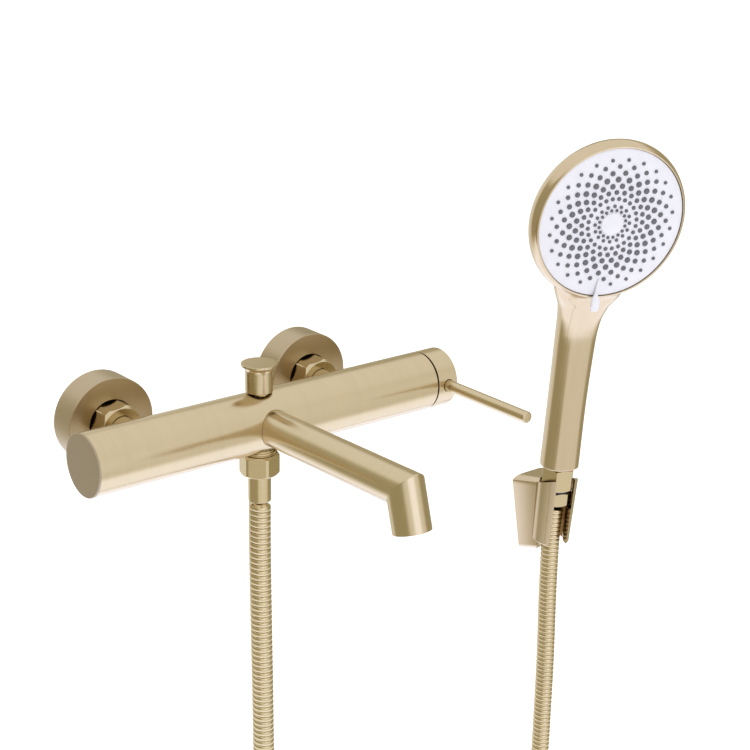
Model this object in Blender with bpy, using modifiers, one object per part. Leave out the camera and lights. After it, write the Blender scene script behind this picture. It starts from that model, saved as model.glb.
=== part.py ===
"""Wall mounted bath faucet with hand shower, hose and wall holder.

Metres, +Z up.  The wall is the plane y = 0 and the object stands in front
of it at -Y.  The origin lies on the wall midway between the two inlets.
"""
import bpy
import bmesh
import math
from mathutils import Matrix, Vector

GAP = 0.0003            # clearance left between pieces that touch

# ---- mixer body ---------------------------------------------------------
AXIS_Y = -0.0691        # body axis in front of the wall
BODY_R = 0.01925
BODY_LEFT = -0.1217
BODY_RIGHT = 0.1291
END_LEFT = -0.1232
INLET_X = 0.0750        # half of the 150 mm inlet spacing
BORE_R = 0.0165         # cartridge chamber
BORE_FLOOR = 0.0866
CHANNEL_R = 0.0032
# ---- handle -------------------------------------------------------------
CAP_LEFT = 0.1303
CAP_RIGHT = 0.1457
CAP_WALL = 0.0011
PIVOT_X = 0.1002
LEVER_X = 0.1382
LEVER_R = 0.00385
LEVER_TIP_Y = -0.1630
# ---- spout --------------------------------------------------------------
SPOUT_R = 0.0114
SPOUT_BORE = 0.0080
SPOUT_ELBOW = (0.0, -0.2099, 0.0028)
SPOUT_TIP = (0.0, -0.2166, -0.0206)
# ---- escutcheons and unions ----------------------------------------------
ESC_R = 0.0291
ESC_DEPTH = 0.0196
ESC_HOLE = 0.0153
NUT_AF = 0.0275
NUT_CORNER = 0.0149     # radius the corners are turned down to
HOSE_NUT_AF = 0.0226
HOSE_NUT_CORNER = 0.0126
# ---- shower outlet --------------------------------------------------------
THREAD_R = 0.0104
HOSE_R = 0.0070
# ---- hand shower ----------------------------------------------------------
HAND_BASE = (0.3050, -0.0310, -0.1150)      # centre of the handle's lower end
HAND_UP = (0.0, -0.0777, 0.9970)
HAND_FRONT = (-0.3395, -0.9378, -0.0730)
FACE_UP = 0.2036        # face centre along the handle
FACE_OUT = 0.0358       # face centre in front of the handle axis
FACE_TILT = math.radians(4.04)
FACE_R = 0.0551
TAB_TURN = math.radians(4.5)
RIM_R = 0.0572          # front lip; the wall behind it swells to 0.0593
# ---- wall holder ----------------------------------------------------------
HOLDER_YAW = math.radians(-17.0)
HOLDER_TOP = -0.0082    # along the handle axis, from HAND_BASE
HOLDER_LEDGE = -0.0193
HOLDER_BOTTOM = -0.0620

parts_col = bpy.data.collections.new("wall_mounted_bath_faucet")
cut_col = bpy.data.collections.new("cutters")


def clear_scene():
    for ob in list(bpy.data.objects):
        bpy.data.objects.remove(ob, do_unlink=True)
    bpy.context.scene.collection.children.link(parts_col)
    bpy.context.scene.collection.children.link(cut_col)


def material(name, colour, metallic, rough):
    mat = bpy.data.materials.new(name)
    mat.use_nodes = True
    bsdf = mat.node_tree.nodes["Principled BSDF"]
    bsdf.inputs["Base Color"].default_value = (*colour, 1.0)
    bsdf.inputs["Metallic"].default_value = metallic
    bsdf.inputs["Roughness"].default_value = rough
    return mat


GOLD = ("gold", (0.66, 0.50, 0.30), 1.0, 0.3)
BRASS = ("brass", (0.72, 0.55, 0.26), 1.0, 0.35)
BLACK = ("black", (0.02, 0.02, 0.02), 0.0, 0.5)
WHITE = ("white", (0.83, 0.83, 0.85), 0.0, 0.35)
GREY = ("grey", (0.15, 0.15, 0.16), 0.0, 0.6)
STEEL = ("steel", (0.60, 0.60, 0.60), 1.0, 0.3)
CERAMIC = ("ceramic", (0.90, 0.88, 0.84), 0.0, 0.3)


def place(ob, loc, axis):
    """Put the local origin at loc with local +Z along axis."""
    turn = Vector((0, 0, 1)).rotation_difference(Vector(axis).normalized())
    ob.matrix_world = Matrix.Translation(Vector(loc)) @ turn.to_matrix().to_4x4()


def add(name, mesh, look, cutter=False):
    ob = bpy.data.objects.new(name, mesh)
    if cutter:
        cut_col.objects.link(ob)
        ob.hide_render = True
        ob.display_type = "WIRE"
    else:
        parts_col.objects.link(ob)
        mesh.materials.append(material(name + "_mat", *look[1:]))
    return ob


def turned(name, profile, look=BRASS, steps=32, loc=(0, 0, 0), axis=(0, 0, 1),
           cutter=False, ring=False):
    """Turn a profile of (radius, height) pairs about local Z.

    The profile runs down the outer side; a ring closes on itself.
    """
    mesh = bpy.data.meshes.new(name)
    verts = [(r, 0.0, h) for r, h in profile]
    edges = [(i, i + 1) for i in range(len(verts) - 1)]
    if ring:
        edges.append((len(verts) - 1, 0))
    mesh.from_pydata(verts, edges, [])
    ob = add(name, mesh, look, cutter)
    mod = ob.modifiers.new("turn", "SCREW")
    mod.axis = "Z"
    mod.angle = math.tau
    mod.steps = steps
    mod.render_steps = steps
    mod.use_merge_vertices = True
    mod.merge_threshold = 0.00001
    mod.use_smooth_shade = True
    mod.use_normal_calculate = False
    mod.screw_offset = 0.0
    place(ob, loc, axis)
    return ob


def rod(name, r, start, end, steps=24, look=BRASS, cutter=False):
    """A plain round bar between two points."""
    start, end = Vector(start), Vector(end)
    length = (end - start).length
    return turned(name, [(0, length), (r, length), (r, 0), (0, 0)], look,
                  steps, start, end - start, cutter)


def washer(name, r_out, r_in, start, end, look=BLACK, steps=20):
    start, end = Vector(start), Vector(end)
    length = (end - start).length
    return turned(name, [(r_out, length), (r_out, 0), (r_in, 0), (r_in, length)],
                  look, steps, start, end - start, ring=True)


def o_ring(name, r_mid, r_cord, centre, axis, look=BLACK):
    pts = [(r_mid + r_cord * math.cos(math.pi / 2 - k * math.pi / 3),
            r_cord * math.sin(math.pi / 2 - k * math.pi / 3)) for k in range(6)]
    return turned(name, pts, look, 18, centre, axis, ring=True)


def mesh_from(name, verts, faces, look=BRASS, cutter=False, smooth=True):
    mesh = bpy.data.meshes.new(name)
    mesh.from_pydata([tuple(v) for v in verts], [], faces)
    bm = bmesh.new()
    bm.from_mesh(mesh)
    bmesh.ops.recalc_face_normals(bm, faces=bm.faces)
    bm.to_mesh(mesh)
    bm.free()
    for poly in mesh.polygons:
        poly.use_smooth = smooth
    return add(name, mesh, look, cutter)


def box(name, size, centre, frame=None, look=BRASS, cutter=False):
    """A plain block; frame is a 4x4 placing its local axes."""
    mesh = bpy.data.meshes.new(name)
    bm = bmesh.new()
    bmesh.ops.create_cube(bm, size=1.0)
    bmesh.ops.scale(bm, vec=size, verts=bm.verts)
    bmesh.ops.translate(bm, vec=centre, verts=bm.verts)
    bm.to_mesh(mesh)
    bm.free()
    ob = add(name, mesh, look, cutter)
    if frame is not None:
        ob.matrix_world = frame
    return ob


def boolean(ob, other, how="DIFFERENCE"):
    mod = ob.modifiers.new(how.lower(), "BOOLEAN")
    mod.operation = how
    mod.solver = "EXACT"
    mod.object = other
    return mod


def bore(ob, name, r, start, end, steps=24):
    boolean(ob, rod(name, r, start, end, steps, cutter=True))


def hex_nut(name, flats, start, end, hole, look=GOLD, turn_deg=0.0, chamfer=0.0010,
            pocket=None, out_r=None):
    """Hexagonal nut between two points, with chamfered ends.

    hole is the bore radius; pocket is (radius, depth) cut from the start;
    out_r is the radius its corners are turned down to, if they are.
    """
    start, end = Vector(start), Vector(end)
    length = (end - start).length
    corner = flats / math.sqrt(3)
    verts, faces = [], []
    for h in (0.0, length):
        for k in range(6):
            ang = math.radians(turn_deg + 60 * k)
            verts.append((corner * math.cos(ang), corner * math.sin(ang), h))
    faces = [tuple(range(5, -1, -1)), tuple(range(6, 12))]
    faces += [(k, (k + 1) % 6, 6 + (k + 1) % 6, 6 + k) for k in range(6)]
    ob = mesh_from(name, verts, faces, look, smooth=False)
    place(ob, start, end - start)
    face_r = flats / 2 * 0.985
    out_r = out_r or corner + 0.0002
    lens = turned(name + "_chamfer", [
        (0, length), (face_r, length), (out_r, length - chamfer * 1.6),
        (out_r, chamfer * 1.6), (face_r, 0.0), (0, 0.0)], steps=24, loc=start,
        axis=end - start, cutter=True)
    boolean(ob, lens, "INTERSECT")
    way = (end - start).normalized()
    bore(ob, name + "_hole", hole, start - way * 0.002, end + way * 0.002, 18)
    if pocket:
        bore(ob, name + "_pocket", pocket[0], start - way * 0.002,
             start + way * pocket[1], 18)
    return ob


def ring_points(centre, way, r, segs, side=None):
    way = Vector(way).normalized()
    side = Vector(side if side else (1, 0, 0))
    side = (side - way * side.dot(way)).normalized()
    up = way.cross(side)
    return [Vector(centre) + side * (r * math.cos(a)) + up * (r * math.sin(a))
            for a in (math.tau * k / segs for k in range(segs))]


def mitred(path, segs):
    """Rings for a round tube with mitred corners; path is (point, radius)."""
    rings = []
    count = len(path)
    for i, (p, r) in enumerate(path):
        p = Vector(p)
        before = after = None
        for j in range(i - 1, -1, -1):
            if (p - Vector(path[j][0])).length > 1e-7:
                before = (p - Vector(path[j][0])).normalized()
                break
        for j in range(i + 1, count):
            if (p - Vector(path[j][0])).length > 1e-7:
                after = (Vector(path[j][0]) - p).normalized()
                break
        before = before or after
        after = after or before
        plane = (before + after).normalized()
        pts = ring_points(p, before, r, segs)
        rings.append([q + before * ((p - q).dot(plane) / before.dot(plane))
                      for q in pts])
    return rings


def skin(name, rings, look=GOLD, cutter=False, inner=None):
    """Close a stack of rings into a solid; inner rings make it a pipe."""
    segs = len(rings[0])
    stack = list(rings) + (list(reversed(inner)) if inner else [])
    verts = [v for ring in stack for v in ring]
    faces = []
    for i in range(len(stack) - 1 + (1 if inner else 0)):
        a, b = i * segs, ((i + 1) % len(stack)) * segs
        for k in range(segs):
            m = (k + 1) % segs
            faces.append((a + k, a + m, b + m, b + k))
    if not inner:
        faces.append(tuple(range(segs - 1, -1, -1)))
        last = (len(stack) - 1) * segs
        faces.append(tuple(range(last, last + segs)))
    return mesh_from(name, verts, faces, look, cutter)


def thread(r_top, r_root, top, bottom, pitch):
    """Profile of thread crests down one side, as (radius, height)."""
    pts, turns = [], int((top - bottom) / pitch)
    for k in range(turns):
        h = top - k * pitch
        pts += [(r_root, h - pitch * 0.05), (r_top, h - pitch * 0.40),
                (r_top, h - pitch * 0.60), (r_root, h - pitch * 0.95)]
    return pts


# ---------------------------------------------------------------------------
# mixer body

def make_body():
    length = BODY_RIGHT - BODY_LEFT
    body = turned("mixer_body", [
        (0, length), (BODY_R - 0.0003, length), (BODY_R, length - 0.0003),
        (BODY_R, 0.0003), (BODY_R - 0.0003, 0), (0, 0)], GOLD, 32,
        (BODY_LEFT, AXIS_Y, 0), (1, 0, 0))
    for side, x in (("left", -INLET_X), ("right", INLET_X)):
        boss = rod("body_boss_" + side, 0.0100, (x, AXIS_Y + 0.010, 0),
                   (x, -0.0478, 0), 20, cutter=True)
        boolean(body, boss, "UNION")
    bore(body, "cut_cartridge", BORE_R, (BORE_FLOOR, AXIS_Y, 0),
         (BODY_RIGHT + 0.004, AXIS_Y, 0), 28)
    bore(body, "cut_left", 0.0153, (BODY_LEFT - 0.004, AXIS_Y, 0),
         (-0.0860, AXIS_Y, 0), 28)
    for side, x in (("left", -INLET_X), ("right", INLET_X)):
        boolean(body, turned("cut_port_" + side, [
            (0, 0.0251), (0.0078, 0.0251), (0.0078, 0.0092), (0.0052, 0.0092),
            (0.0052, 0.0040), (0, 0.0040)], steps=16, loc=(x, AXIS_Y, 0),
            axis=(0, 1, 0), cutter=True))
    bore(body, "cut_hot", CHANNEL_R, (-0.0790, AXIS_Y + 0.0110, -0.0098),
         (BORE_FLOOR + 0.003, AXIS_Y + 0.0110, -0.0098), 10)
    bore(body, "cut_hot_link", CHANNEL_R, (-INLET_X, AXIS_Y + 0.0110, -0.0098),
         (-INLET_X, AXIS_Y + 0.0075, 0.0), 10)
    bore(body, "cut_cold", 0.0034, (INLET_X, AXIS_Y + 0.0062, 0.0012),
         (BORE_FLOOR + 0.003, AXIS_Y + 0.0062, 0.0012), 10)
    bore(body, "cut_mixed", 0.0040, (-0.0030, AXIS_Y - 0.0055, 0.0045),
         (BORE_FLOOR + 0.003, AXIS_Y - 0.0055, 0.0045), 10)
    boolean(body, turned("cut_diverter", [
        (0, 0.0230), (0.0068, 0.0230), (0.0068, -0.0105), (0.0045, -0.0105),
        (0.0045, -0.0135), (THREAD_R + GAP, -0.0135), (THREAD_R + GAP, -0.0230),
        (0, -0.0230)], steps=20, loc=(0, AXIS_Y, 0), cutter=True))
    root = Vector((0, AXIS_Y, 0))
    boolean(body, turned("cut_spout", [
        (0, 0.0240), (SPOUT_R + GAP, 0.0240), (SPOUT_R + GAP, 0.0105),
        (0.0103, 0.0105), (0.0103, 0.0055), (0, 0.0055)], steps=24, loc=root,
        axis=Vector(SPOUT_ELBOW) - root, cutter=True))
    return body


def make_end_cap():
    turned("end_cap", [
        (0, 0.0030), (0.0128, 0.0030), (0.0128, 0.0112), (0.0150, 0.0112),
        (0.0150, 0.0066), (0.0134, 0.0064), (0.0134, 0.0042), (0.0150, 0.0040),
        (0.0150, 0.0012), (BODY_R - 0.0003, 0.0012), (BODY_R, 0.0009),
        (BODY_R, 0.0004), (BODY_R - 0.0004, 0), (0, 0)], GOLD, 32,
        (END_LEFT, AXIS_Y, 0), (1, 0, 0))
    o_ring("end_cap_seal", 0.01445, 0.00050, (END_LEFT + 0.0053, AXIS_Y, 0), (1, 0, 0))


def make_inlet(side, x):
    wall = Vector((x, 0, 0))

    def at(y):
        return wall + Vector((0, y, 0))

    d = ESC_DEPTH
    turned("escutcheon_" + side, [
        (ESC_R, 0), (ESC_R, -d), (ESC_HOLE, -d), (ESC_HOLE, -d + 0.0026),
        (0.0268, -d + 0.0026),
        (0.0268, -0.0115), (0.0140, -0.0115), (0.0140, -0.0050),
        (0.0268, -0.0050), (0.0268, 0)],
        GOLD, 32, wall, (0, 1, 0), ring=True)
    drop = Vector((0, 0, -0.0055))
    front = turned("union_" + side, [
        (0, 0.0247), (0.0100, 0.0247), (0.0106, 0.0240), (0.0106, 0.0122),
        (0.0137, 0.0122), (0.0137, 0.0030), (0, 0.0030)],
        BRASS, 24, wall, (0, -1, 0))
    rear = turned("union_rear_" + side, [
        (0, 0.0046), (0.0103, 0.0046), (0.0103, -0.0275), (0.0096, -0.0285),
        (0, -0.0285)], BRASS, 20, wall + drop, (0, -1, 0), cutter=True)
    boolean(front, rear, "UNION")
    bore(front, "cut_union_front_" + side, 0.0072, at(-0.0300), at(-0.0060), 14)
    bore(front, "cut_union_rear_" + side, 0.0068, at(0.0400) + drop, at(-0.0085) + drop,
         14)
    hex_nut("union_nut_" + side, NUT_AF, at(-0.0145), at(-0.0325), 0.0089, GOLD,
            8.0, 0.0013, (0.0109, 0.0149), NUT_CORNER)
    washer("inlet_washer_" + side, 0.0103, 0.0062, at(-0.0250), at(-0.0266), BLACK, 28)
    turned("inlet_tail_" + side, [
        (0.0106, -0.0269), (0.0106, -0.0291), (0.0086, -0.0291), (0.0086, -0.0475),
        (0.0075, -0.0475), (0.0075, -0.0590), (0.0055, -0.0590), (0.0055, -0.0269)],
        GOLD, 20, wall, (0, 1, 0), ring=True)


# ---------------------------------------------------------------------------
# cartridge and handle

def bar_x(name, profile, look, steps=32, ring=False, cutter=False):
    """Turned about the body axis; heights are x coordinates."""
    return turned(name, profile, look, steps, (0, AXIS_Y, 0), (1, 0, 0),
                  cutter, ring)


def make_cartridge():
    housing = bar_x("cartridge_housing", [
        (0, 0.0890), (0.0126, 0.0890), (0.0126, 0.1206),
        (0.0161, 0.1206), (0.0161, 0.0885), (0.0148, 0.0882), (0.0148, 0.0869),
        (0, 0.0869)], WHITE, 28)
    for k, (y, z) in enumerate(((0.0090, -0.0080), (0.0062, 0.0012), (-0.0055, 0.0045))):
        bore(housing, "cut_port_%d" % k, 0.0026, (0.0860, AXIS_Y + y, z),
             (0.0900, AXIS_Y + y, z), 12)
    o_ring("cartridge_seal", 0.01565, 0.00050, (0.08755, AXIS_Y, 0), (1, 0, 0))
    disc = bar_x("fixed_disc", [(0, 0.0915), (0.0122, 0.0915), (0.0122, 0.0893),
                                (0, 0.0893)], CERAMIC, 24)
    for k, (y, z) in enumerate(((0.0090, -0.0080), (0.0062, 0.0012), (-0.0055, 0.0045))):
        bore(disc, "cut_disc_%d" % k, 0.0022, (0.0880, AXIS_Y + y, z),
             (0.0930, AXIS_Y + y, z), 12)
    bar_x("moving_disc", [
        (0, 0.0932), (0.0026, 0.0932), (0.0026, 0.0946), (0.0098, 0.0946),
        (0.0098, 0.0918), (0, 0.0918)], CERAMIC, 20)
    rotor = bar_x("cartridge_rotor", [
        (0, 0.1180), (0.0118, 0.1180), (0.0122, 0.1176), (0.0122, 0.0949),
        (0, 0.0949)], WHITE, 28)
    boolean(rotor, box("cut_rotor_slot", (0.0400, 0.0170, 0.0078),
                       (0.1070, AXIS_Y + 0.0043, 0), cutter=True))
    bore(rotor, "cut_rotor_pin", 0.0015, (PIVOT_X, AXIS_Y, -0.0095),
         (PIVOT_X, AXIS_Y, 0.0140), 16)
    rod("tilt_pin", 0.0012, (PIVOT_X, AXIS_Y, -0.0090), (PIVOT_X, AXIS_Y, 0.0090),
        16, STEEL)
    stem = bar_x("stem", [
        (0, 0.1412), (0.0032, 0.1412), (0.0032, 0.1200), (0.0034, 0.1195),
        (0.0034, 0.0975), (0.0018, 0.0968), (0.0018, 0.0935), (0, 0.0935)],
        STEEL, 18)
    bore(stem, "cut_stem_pin", 0.0015, (PIVOT_X, AXIS_Y, -0.0060),
         (PIVOT_X, AXIS_Y, 0.0060), 16)
    bar_x("retaining_nut", [
        (0.0137, 0.1292), (0.0146, 0.1297), (0.0156, 0.1292), (0.0161, 0.1284),
        (0.0161, 0.1209), (0.0137, 0.1209)], BLACK, 28, ring=True)


def make_handle():
    wall = CAP_WALL
    r = BODY_R
    cap = bar_x("handle_cap", [
        (0, CAP_RIGHT), (r - 0.0006, CAP_RIGHT), (r, CAP_RIGHT - 0.0006),
        (r, CAP_LEFT + 0.0002), (r - 0.0002, CAP_LEFT), (r - wall, CAP_LEFT),
        (r - wall, CAP_RIGHT - 0.0022), (0.0072, CAP_RIGHT - 0.0022),
        (0.0072, 0.1342), (0.0036, 0.1342), (0.0036, 0.1416), (0, 0.1416)], GOLD, 32)
    bore(cap, "cut_lever", LEVER_R + 0.0004, (LEVER_X, AXIS_Y - 0.0100, 0),
         (LEVER_X, AXIS_Y - 0.0240, 0), 16)
    bore(cap, "cut_grub", 0.0017, (0.1362, AXIS_Y, -0.0010),
         (0.1362, AXIS_Y, -0.0240), 10)
    turned("set_screw", [(0, 0.0030), (0.0009, 0.0030), (0.0014, 0.0025),
                         (0.0014, 0.0), (0, 0.0)], STEEL, 12,
           (0.1362, AXIS_Y, -0.0066), (0, 0, 1))
    tip = 0.0010
    turned("pin_lever", [
        (0, 0), (LEVER_R - tip, 0), (LEVER_R - 0.0003, 0.0004), (LEVER_R, tip),
        (LEVER_R, 0.0800), (LEVER_R - 0.0009, 0.0806), (LEVER_R - 0.0009, 0.0862),
        (0, 0.0862)][::-1], GOLD, 20, (LEVER_X, LEVER_TIP_Y, 0), (0, 1, 0))


# ---------------------------------------------------------------------------
# spout

def make_spout():
    root = Vector((0, AXIS_Y, 0))
    elbow, tip = Vector(SPOUT_ELBOW), Vector(SPOUT_TIP)
    way = (elbow - root).normalized()
    down = (tip - elbow).normalized()
    start = root + way * 0.0073
    step = root + way * 0.0121
    outer = mitred([(start, 0.0100), (step, 0.0100), (step, SPOUT_R),
                    (elbow, SPOUT_R), (tip - down * 0.0004, SPOUT_R),
                    (tip, SPOUT_R - 0.0004)], 28)
    inner = mitred([(start, SPOUT_BORE), (elbow, SPOUT_BORE),
                    (tip - down * 0.0120, SPOUT_BORE), (tip - down * 0.0120, 0.0098),
                    (tip, 0.0098)], 28)
    skin("spout", outer, GOLD, inner=inner)
    washer("spout_washer", 0.0114, 0.01035, root + way * 0.0108, root + way * 0.0118)
    washer("aerator_shell", 0.0095, 0.0078, tip - down * 0.0112, tip - down * 0.0012,
           GOLD, 24)
    washer("aerator_washer", 0.0096, 0.0066, tip - down * 0.0117, tip - down * 0.01145,
           BLACK, 24)
    insert = rod("aerator_insert", 0.0075, tip - down * 0.0108, tip - down * 0.0030,
                 20, GREY)
    side = Vector((1, 0, 0))
    fwd = down.cross(side)
    for k, (u, v) in enumerate(((0, 0), (1, 0), (-1, 0), (0, 1), (0, -1))):
        c = tip + side * (u * 0.0042) + fwd * (v * 0.0042)
        bore(insert, "cut_aerator_%d" % k, 0.0013, c - down * 0.0130, c + down * 0.001, 8)


# ---------------------------------------------------------------------------
# diverter and shower outlet

def make_diverter():
    top = 0.0380
    turned("diverter_knob", [
        (0, top), (0.01085, top), (0.01115, top - 0.0003), (0.01115, top - 0.0014),
        (0.0104, top - 0.0020), (0.0092, top - 0.0030), (0.0087, top - 0.0044),
        (0.0086, 0.0199),
        (0.0073, 0.0199), (0.0073, 0.0300), (0.0024, 0.0300), (0.0024, 0.0338),
        (0, 0.0338)], GOLD, 24, (0, AXIS_Y, 0))
    turned("diverter_rod", [(0, 0.0335), (0.0020, 0.0335), (0.0020, -0.0075),
                            (0.0030, -0.0075), (0.0030, -0.0084), (0, -0.0084)],
           STEEL, 16, (0, AXIS_Y, 0))
    turned("diverter_valve", [(0, -0.0087), (0.0058, -0.0087), (0.0058, -0.0099),
                              (0.0052, -0.0102), (0, -0.0102)], BLACK, 24,
           (0, AXIS_Y, 0))
    turned("diverter_bonnet", [
        (0.0062, 0.0222), (0.0064, 0.0160), (0.0052, 0.0158), (0.0052, 0.0138),
        (0.0064, 0.0136), (0.0064, 0.0095),
        (0.0024, 0.0095), (0.0024, 0.0222)], BRASS, 20, (0, AXIS_Y, 0), ring=True)
    o_ring("bonnet_seal", 0.0060, 0.00050, (0, AXIS_Y, 0.0148), (0, 0, 1))
    turns, wire, r = 5.5, 0.00045, 0.0040
    curve = bpy.data.curves.new("diverter_spring", "CURVE")
    curve.dimensions = "3D"
    curve.bevel_depth = wire
    curve.bevel_resolution = 0
    curve.use_fill_caps = True
    spline = curve.splines.new("POLY")
    count = 66
    spline.points.add(count - 1)
    low, high = -0.0065, 0.0087
    for k in range(count):
        t = k / (count - 1)
        a = t * turns * math.tau
        spline.points[k].co = (r * math.cos(a), r * math.sin(a),
                               low + (high - low) * t, 1)
    curve.materials.append(material("diverter_spring_mat", *STEEL[1:]))
    ob = bpy.data.objects.new("diverter_spring", curve)
    parts_col.objects.link(ob)
    ob.location = (0, AXIS_Y, 0)


def make_outlet():
    base = (0, AXIS_Y, 0)
    turned("outlet_nipple", [
        (0.0098, -0.0138), (0.0098, -0.0158),
        *thread(THREAD_R, 0.0096, -0.0160, -0.0228, 0.0017), (0.0100, -0.0234),
        (0.0100, -0.0300), (0.0066, -0.0300), (0.0066, -0.0138)], GOLD, 20, base,
        ring=True)
    turned("check_valve", [
        (0.0062, -0.0165), (0.0062, -0.0290), (0.0044, -0.0290), (0.0044, -0.0165)],
        WHITE, 18, base, ring=True)
    washer("hose_washer", 0.0096, 0.0050, (0, AXIS_Y, -0.0303), (0, AXIS_Y, -0.0318),
           BLACK, 28)
    hex_nut("hose_nut", HOSE_NUT_AF, (0, AXIS_Y, -0.0205), (0, AXIS_Y, -0.0344), 0.0076,
            GOLD, 12.0, 0.0008, (THREAD_R + GAP, 0.0131), HOSE_NUT_CORNER)
    turned("hose_ferrule", [
        (0.0098, -0.0321), (0.0098, -0.0333), (0.0072, -0.0333), (0.0072, -0.0520),
        (0.0069, -0.0524), (0.0045, -0.0524), (0.0045, -0.0321)], GOLD, 24, base,
        ring=True)


# ---------------------------------------------------------------------------
# hose

HOSE_ROUTE = (
    (0.0000, AXIS_Y, -0.0527), (0.0000, AXIS_Y, -0.0900),
    (0.0012, AXIS_Y - 0.0002, -0.1800), (0.0040, -0.0680, -0.2900),
    (0.0125, -0.0655, -0.4179), (0.0345, -0.0620, -0.5319),
    (0.0800, -0.0575, -0.6261), (0.1480, -0.0530, -0.6662),
    (0.2150, -0.0485, -0.6377), (0.2640, -0.0440, -0.5552),
    (0.2900, -0.0390, -0.4389), (0.3005, -0.0325, -0.3016),
    (0.3038, -0.0275, -0.2150), (0.3048, -0.0268, -0.1750),
    (0.3050, -0.0285, -0.1472))


def smooth_path(points, step):
    """Evenly spaced points along a centripetal Catmull-Rom curve."""
    pts = [Vector(p) for p in points]
    pts = [pts[0] * 2 - pts[1]] + pts + [pts[-1] * 2 - pts[-2]]
    dense = []
    for i in range(1, len(pts) - 2):
        p0, p1, p2, p3 = pts[i - 1:i + 3]
        t0 = 0.0
        t1 = t0 + (p1 - p0).length ** 0.5
        t2 = t1 + (p2 - p1).length ** 0.5
        t3 = t2 + (p3 - p2).length ** 0.5
        for k in range(24):
            t = t1 + (t2 - t1) * k / 24
            a1 = p0 * ((t1 - t) / (t1 - t0)) + p1 * ((t - t0) / (t1 - t0))
            a2 = p1 * ((t2 - t) / (t2 - t1)) + p2 * ((t - t1) / (t2 - t1))
            a3 = p2 * ((t3 - t) / (t3 - t2)) + p3 * ((t - t2) / (t3 - t2))
            b1 = a1 * ((t2 - t) / (t2 - t0)) + a2 * ((t - t0) / (t2 - t0))
            b2 = a2 * ((t3 - t) / (t3 - t1)) + a3 * ((t - t1) / (t3 - t1))
            dense.append(b1 * ((t2 - t) / (t2 - t1)) + b2 * ((t - t1) / (t2 - t1)))
    dense.append(pts[-2])
    total = sum((dense[i + 1] - dense[i]).length for i in range(len(dense) - 1))
    count = max(2, round(total / step))
    out, want, run = [dense[0]], total / count, 0.0
    for i in range(len(dense) - 1):
        seg = (dense[i + 1] - dense[i]).length
        while run + seg >= want * len(out) and len(out) < count:
            f = (want * len(out) - run) / seg
            out.append(dense[i].lerp(dense[i + 1], f))
        run += seg
    out.append(dense[-1])
    return out


def make_hose():
    path = smooth_path(HOSE_ROUTE, 0.0280)
    curve = bpy.data.curves.new("shower_hose", "CURVE")
    curve.dimensions = "3D"
    curve.bevel_depth = HOSE_R
    curve.bevel_resolution = 2
    curve.use_fill_caps = True
    spline = curve.splines.new("POLY")
    spline.points.add(len(path) - 1)
    for point, p in zip(spline.points, path):
        point.co = (*p, 1)
    curve.materials.append(material("shower_hose_mat", *GOLD[1:]))
    ob = bpy.data.objects.new("shower_hose", curve)
    parts_col.objects.link(ob)


# ---------------------------------------------------------------------------
# hand shower, built in its own frame: -Y forward, +Z up the handle

def hand_frame():
    up = Vector(HAND_UP).normalized()
    front = Vector(HAND_FRONT)
    front = (front - up * front.dot(up)).normalized()
    side = (-front).cross(up)
    rot = Matrix((side, -front, up)).transposed()
    return Matrix.Translation(Vector(HAND_BASE)) @ rot.to_4x4()


HAND = hand_frame()


def on_hand(ob):
    ob.matrix_world = HAND @ ob.matrix_world
    return ob


def hand_turned(name, profile, look, steps=32, ring=False, cutter=False,
                loc=(0, 0, 0), axis=(0, 0, 1)):
    return on_hand(turned(name, profile, look, steps, loc, axis, cutter, ring))


def face_axis():
    """Outward normal of the spray face in the hand shower's frame."""
    return Vector((0, -math.cos(FACE_TILT), -math.sin(FACE_TILT)))


FACE_C = Vector((0, -FACE_OUT, FACE_UP))


def face_turned(name, profile, look, steps=48, ring=False, cutter=False):
    """Turned about the face axis; heights are measured out of the face."""
    return hand_turned(name, profile, look, steps, ring, cutter, FACE_C, face_axis())


# (height up the handle, forward offset, half width, half depth)
HANDLE_SECTIONS = (
    (0.0000, 0.0000, 0.0145, 0.0145), (0.0006, 0.0000, 0.0148, 0.0148),
    (0.0500, 0.0000, 0.0145, 0.0145), (0.0950, 0.0011, 0.0151, 0.0146),
    (0.1100, 0.0019, 0.0155, 0.0148), (0.1230, 0.0040, 0.0167, 0.0152),
    (0.1340, 0.0079, 0.0196, 0.0158), (0.1430, 0.0125, 0.0248, 0.0160),
    (0.1550, 0.0155, 0.0300, 0.0152), (0.1700, 0.0178, 0.0330, 0.0136),
    (0.1850, 0.0190, 0.0290, 0.0108), (0.1980, 0.0200, 0.0200, 0.0075))


def handle_rings(sections, segs, shrink=0.0, flat=0.30):
    """Rounded sections, a little flattened towards the front."""
    rings = []
    for h, fwd, a, b in sections:
        ring = []
        for k in range(segs):
            t = math.tau * k / segs
            x, y = math.cos(t), math.sin(t)
            front = max(0.0, -y)
            y_scale = 1.0 - flat * 0.35 * front ** 4
            x_scale = 1.0 + flat * 0.10 * front ** 2
            ring.append(Vector(((a - shrink) * x * x_scale,
                                (b - shrink) * y * y_scale - fwd, h)))
        rings.append(ring)
    return rings


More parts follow.
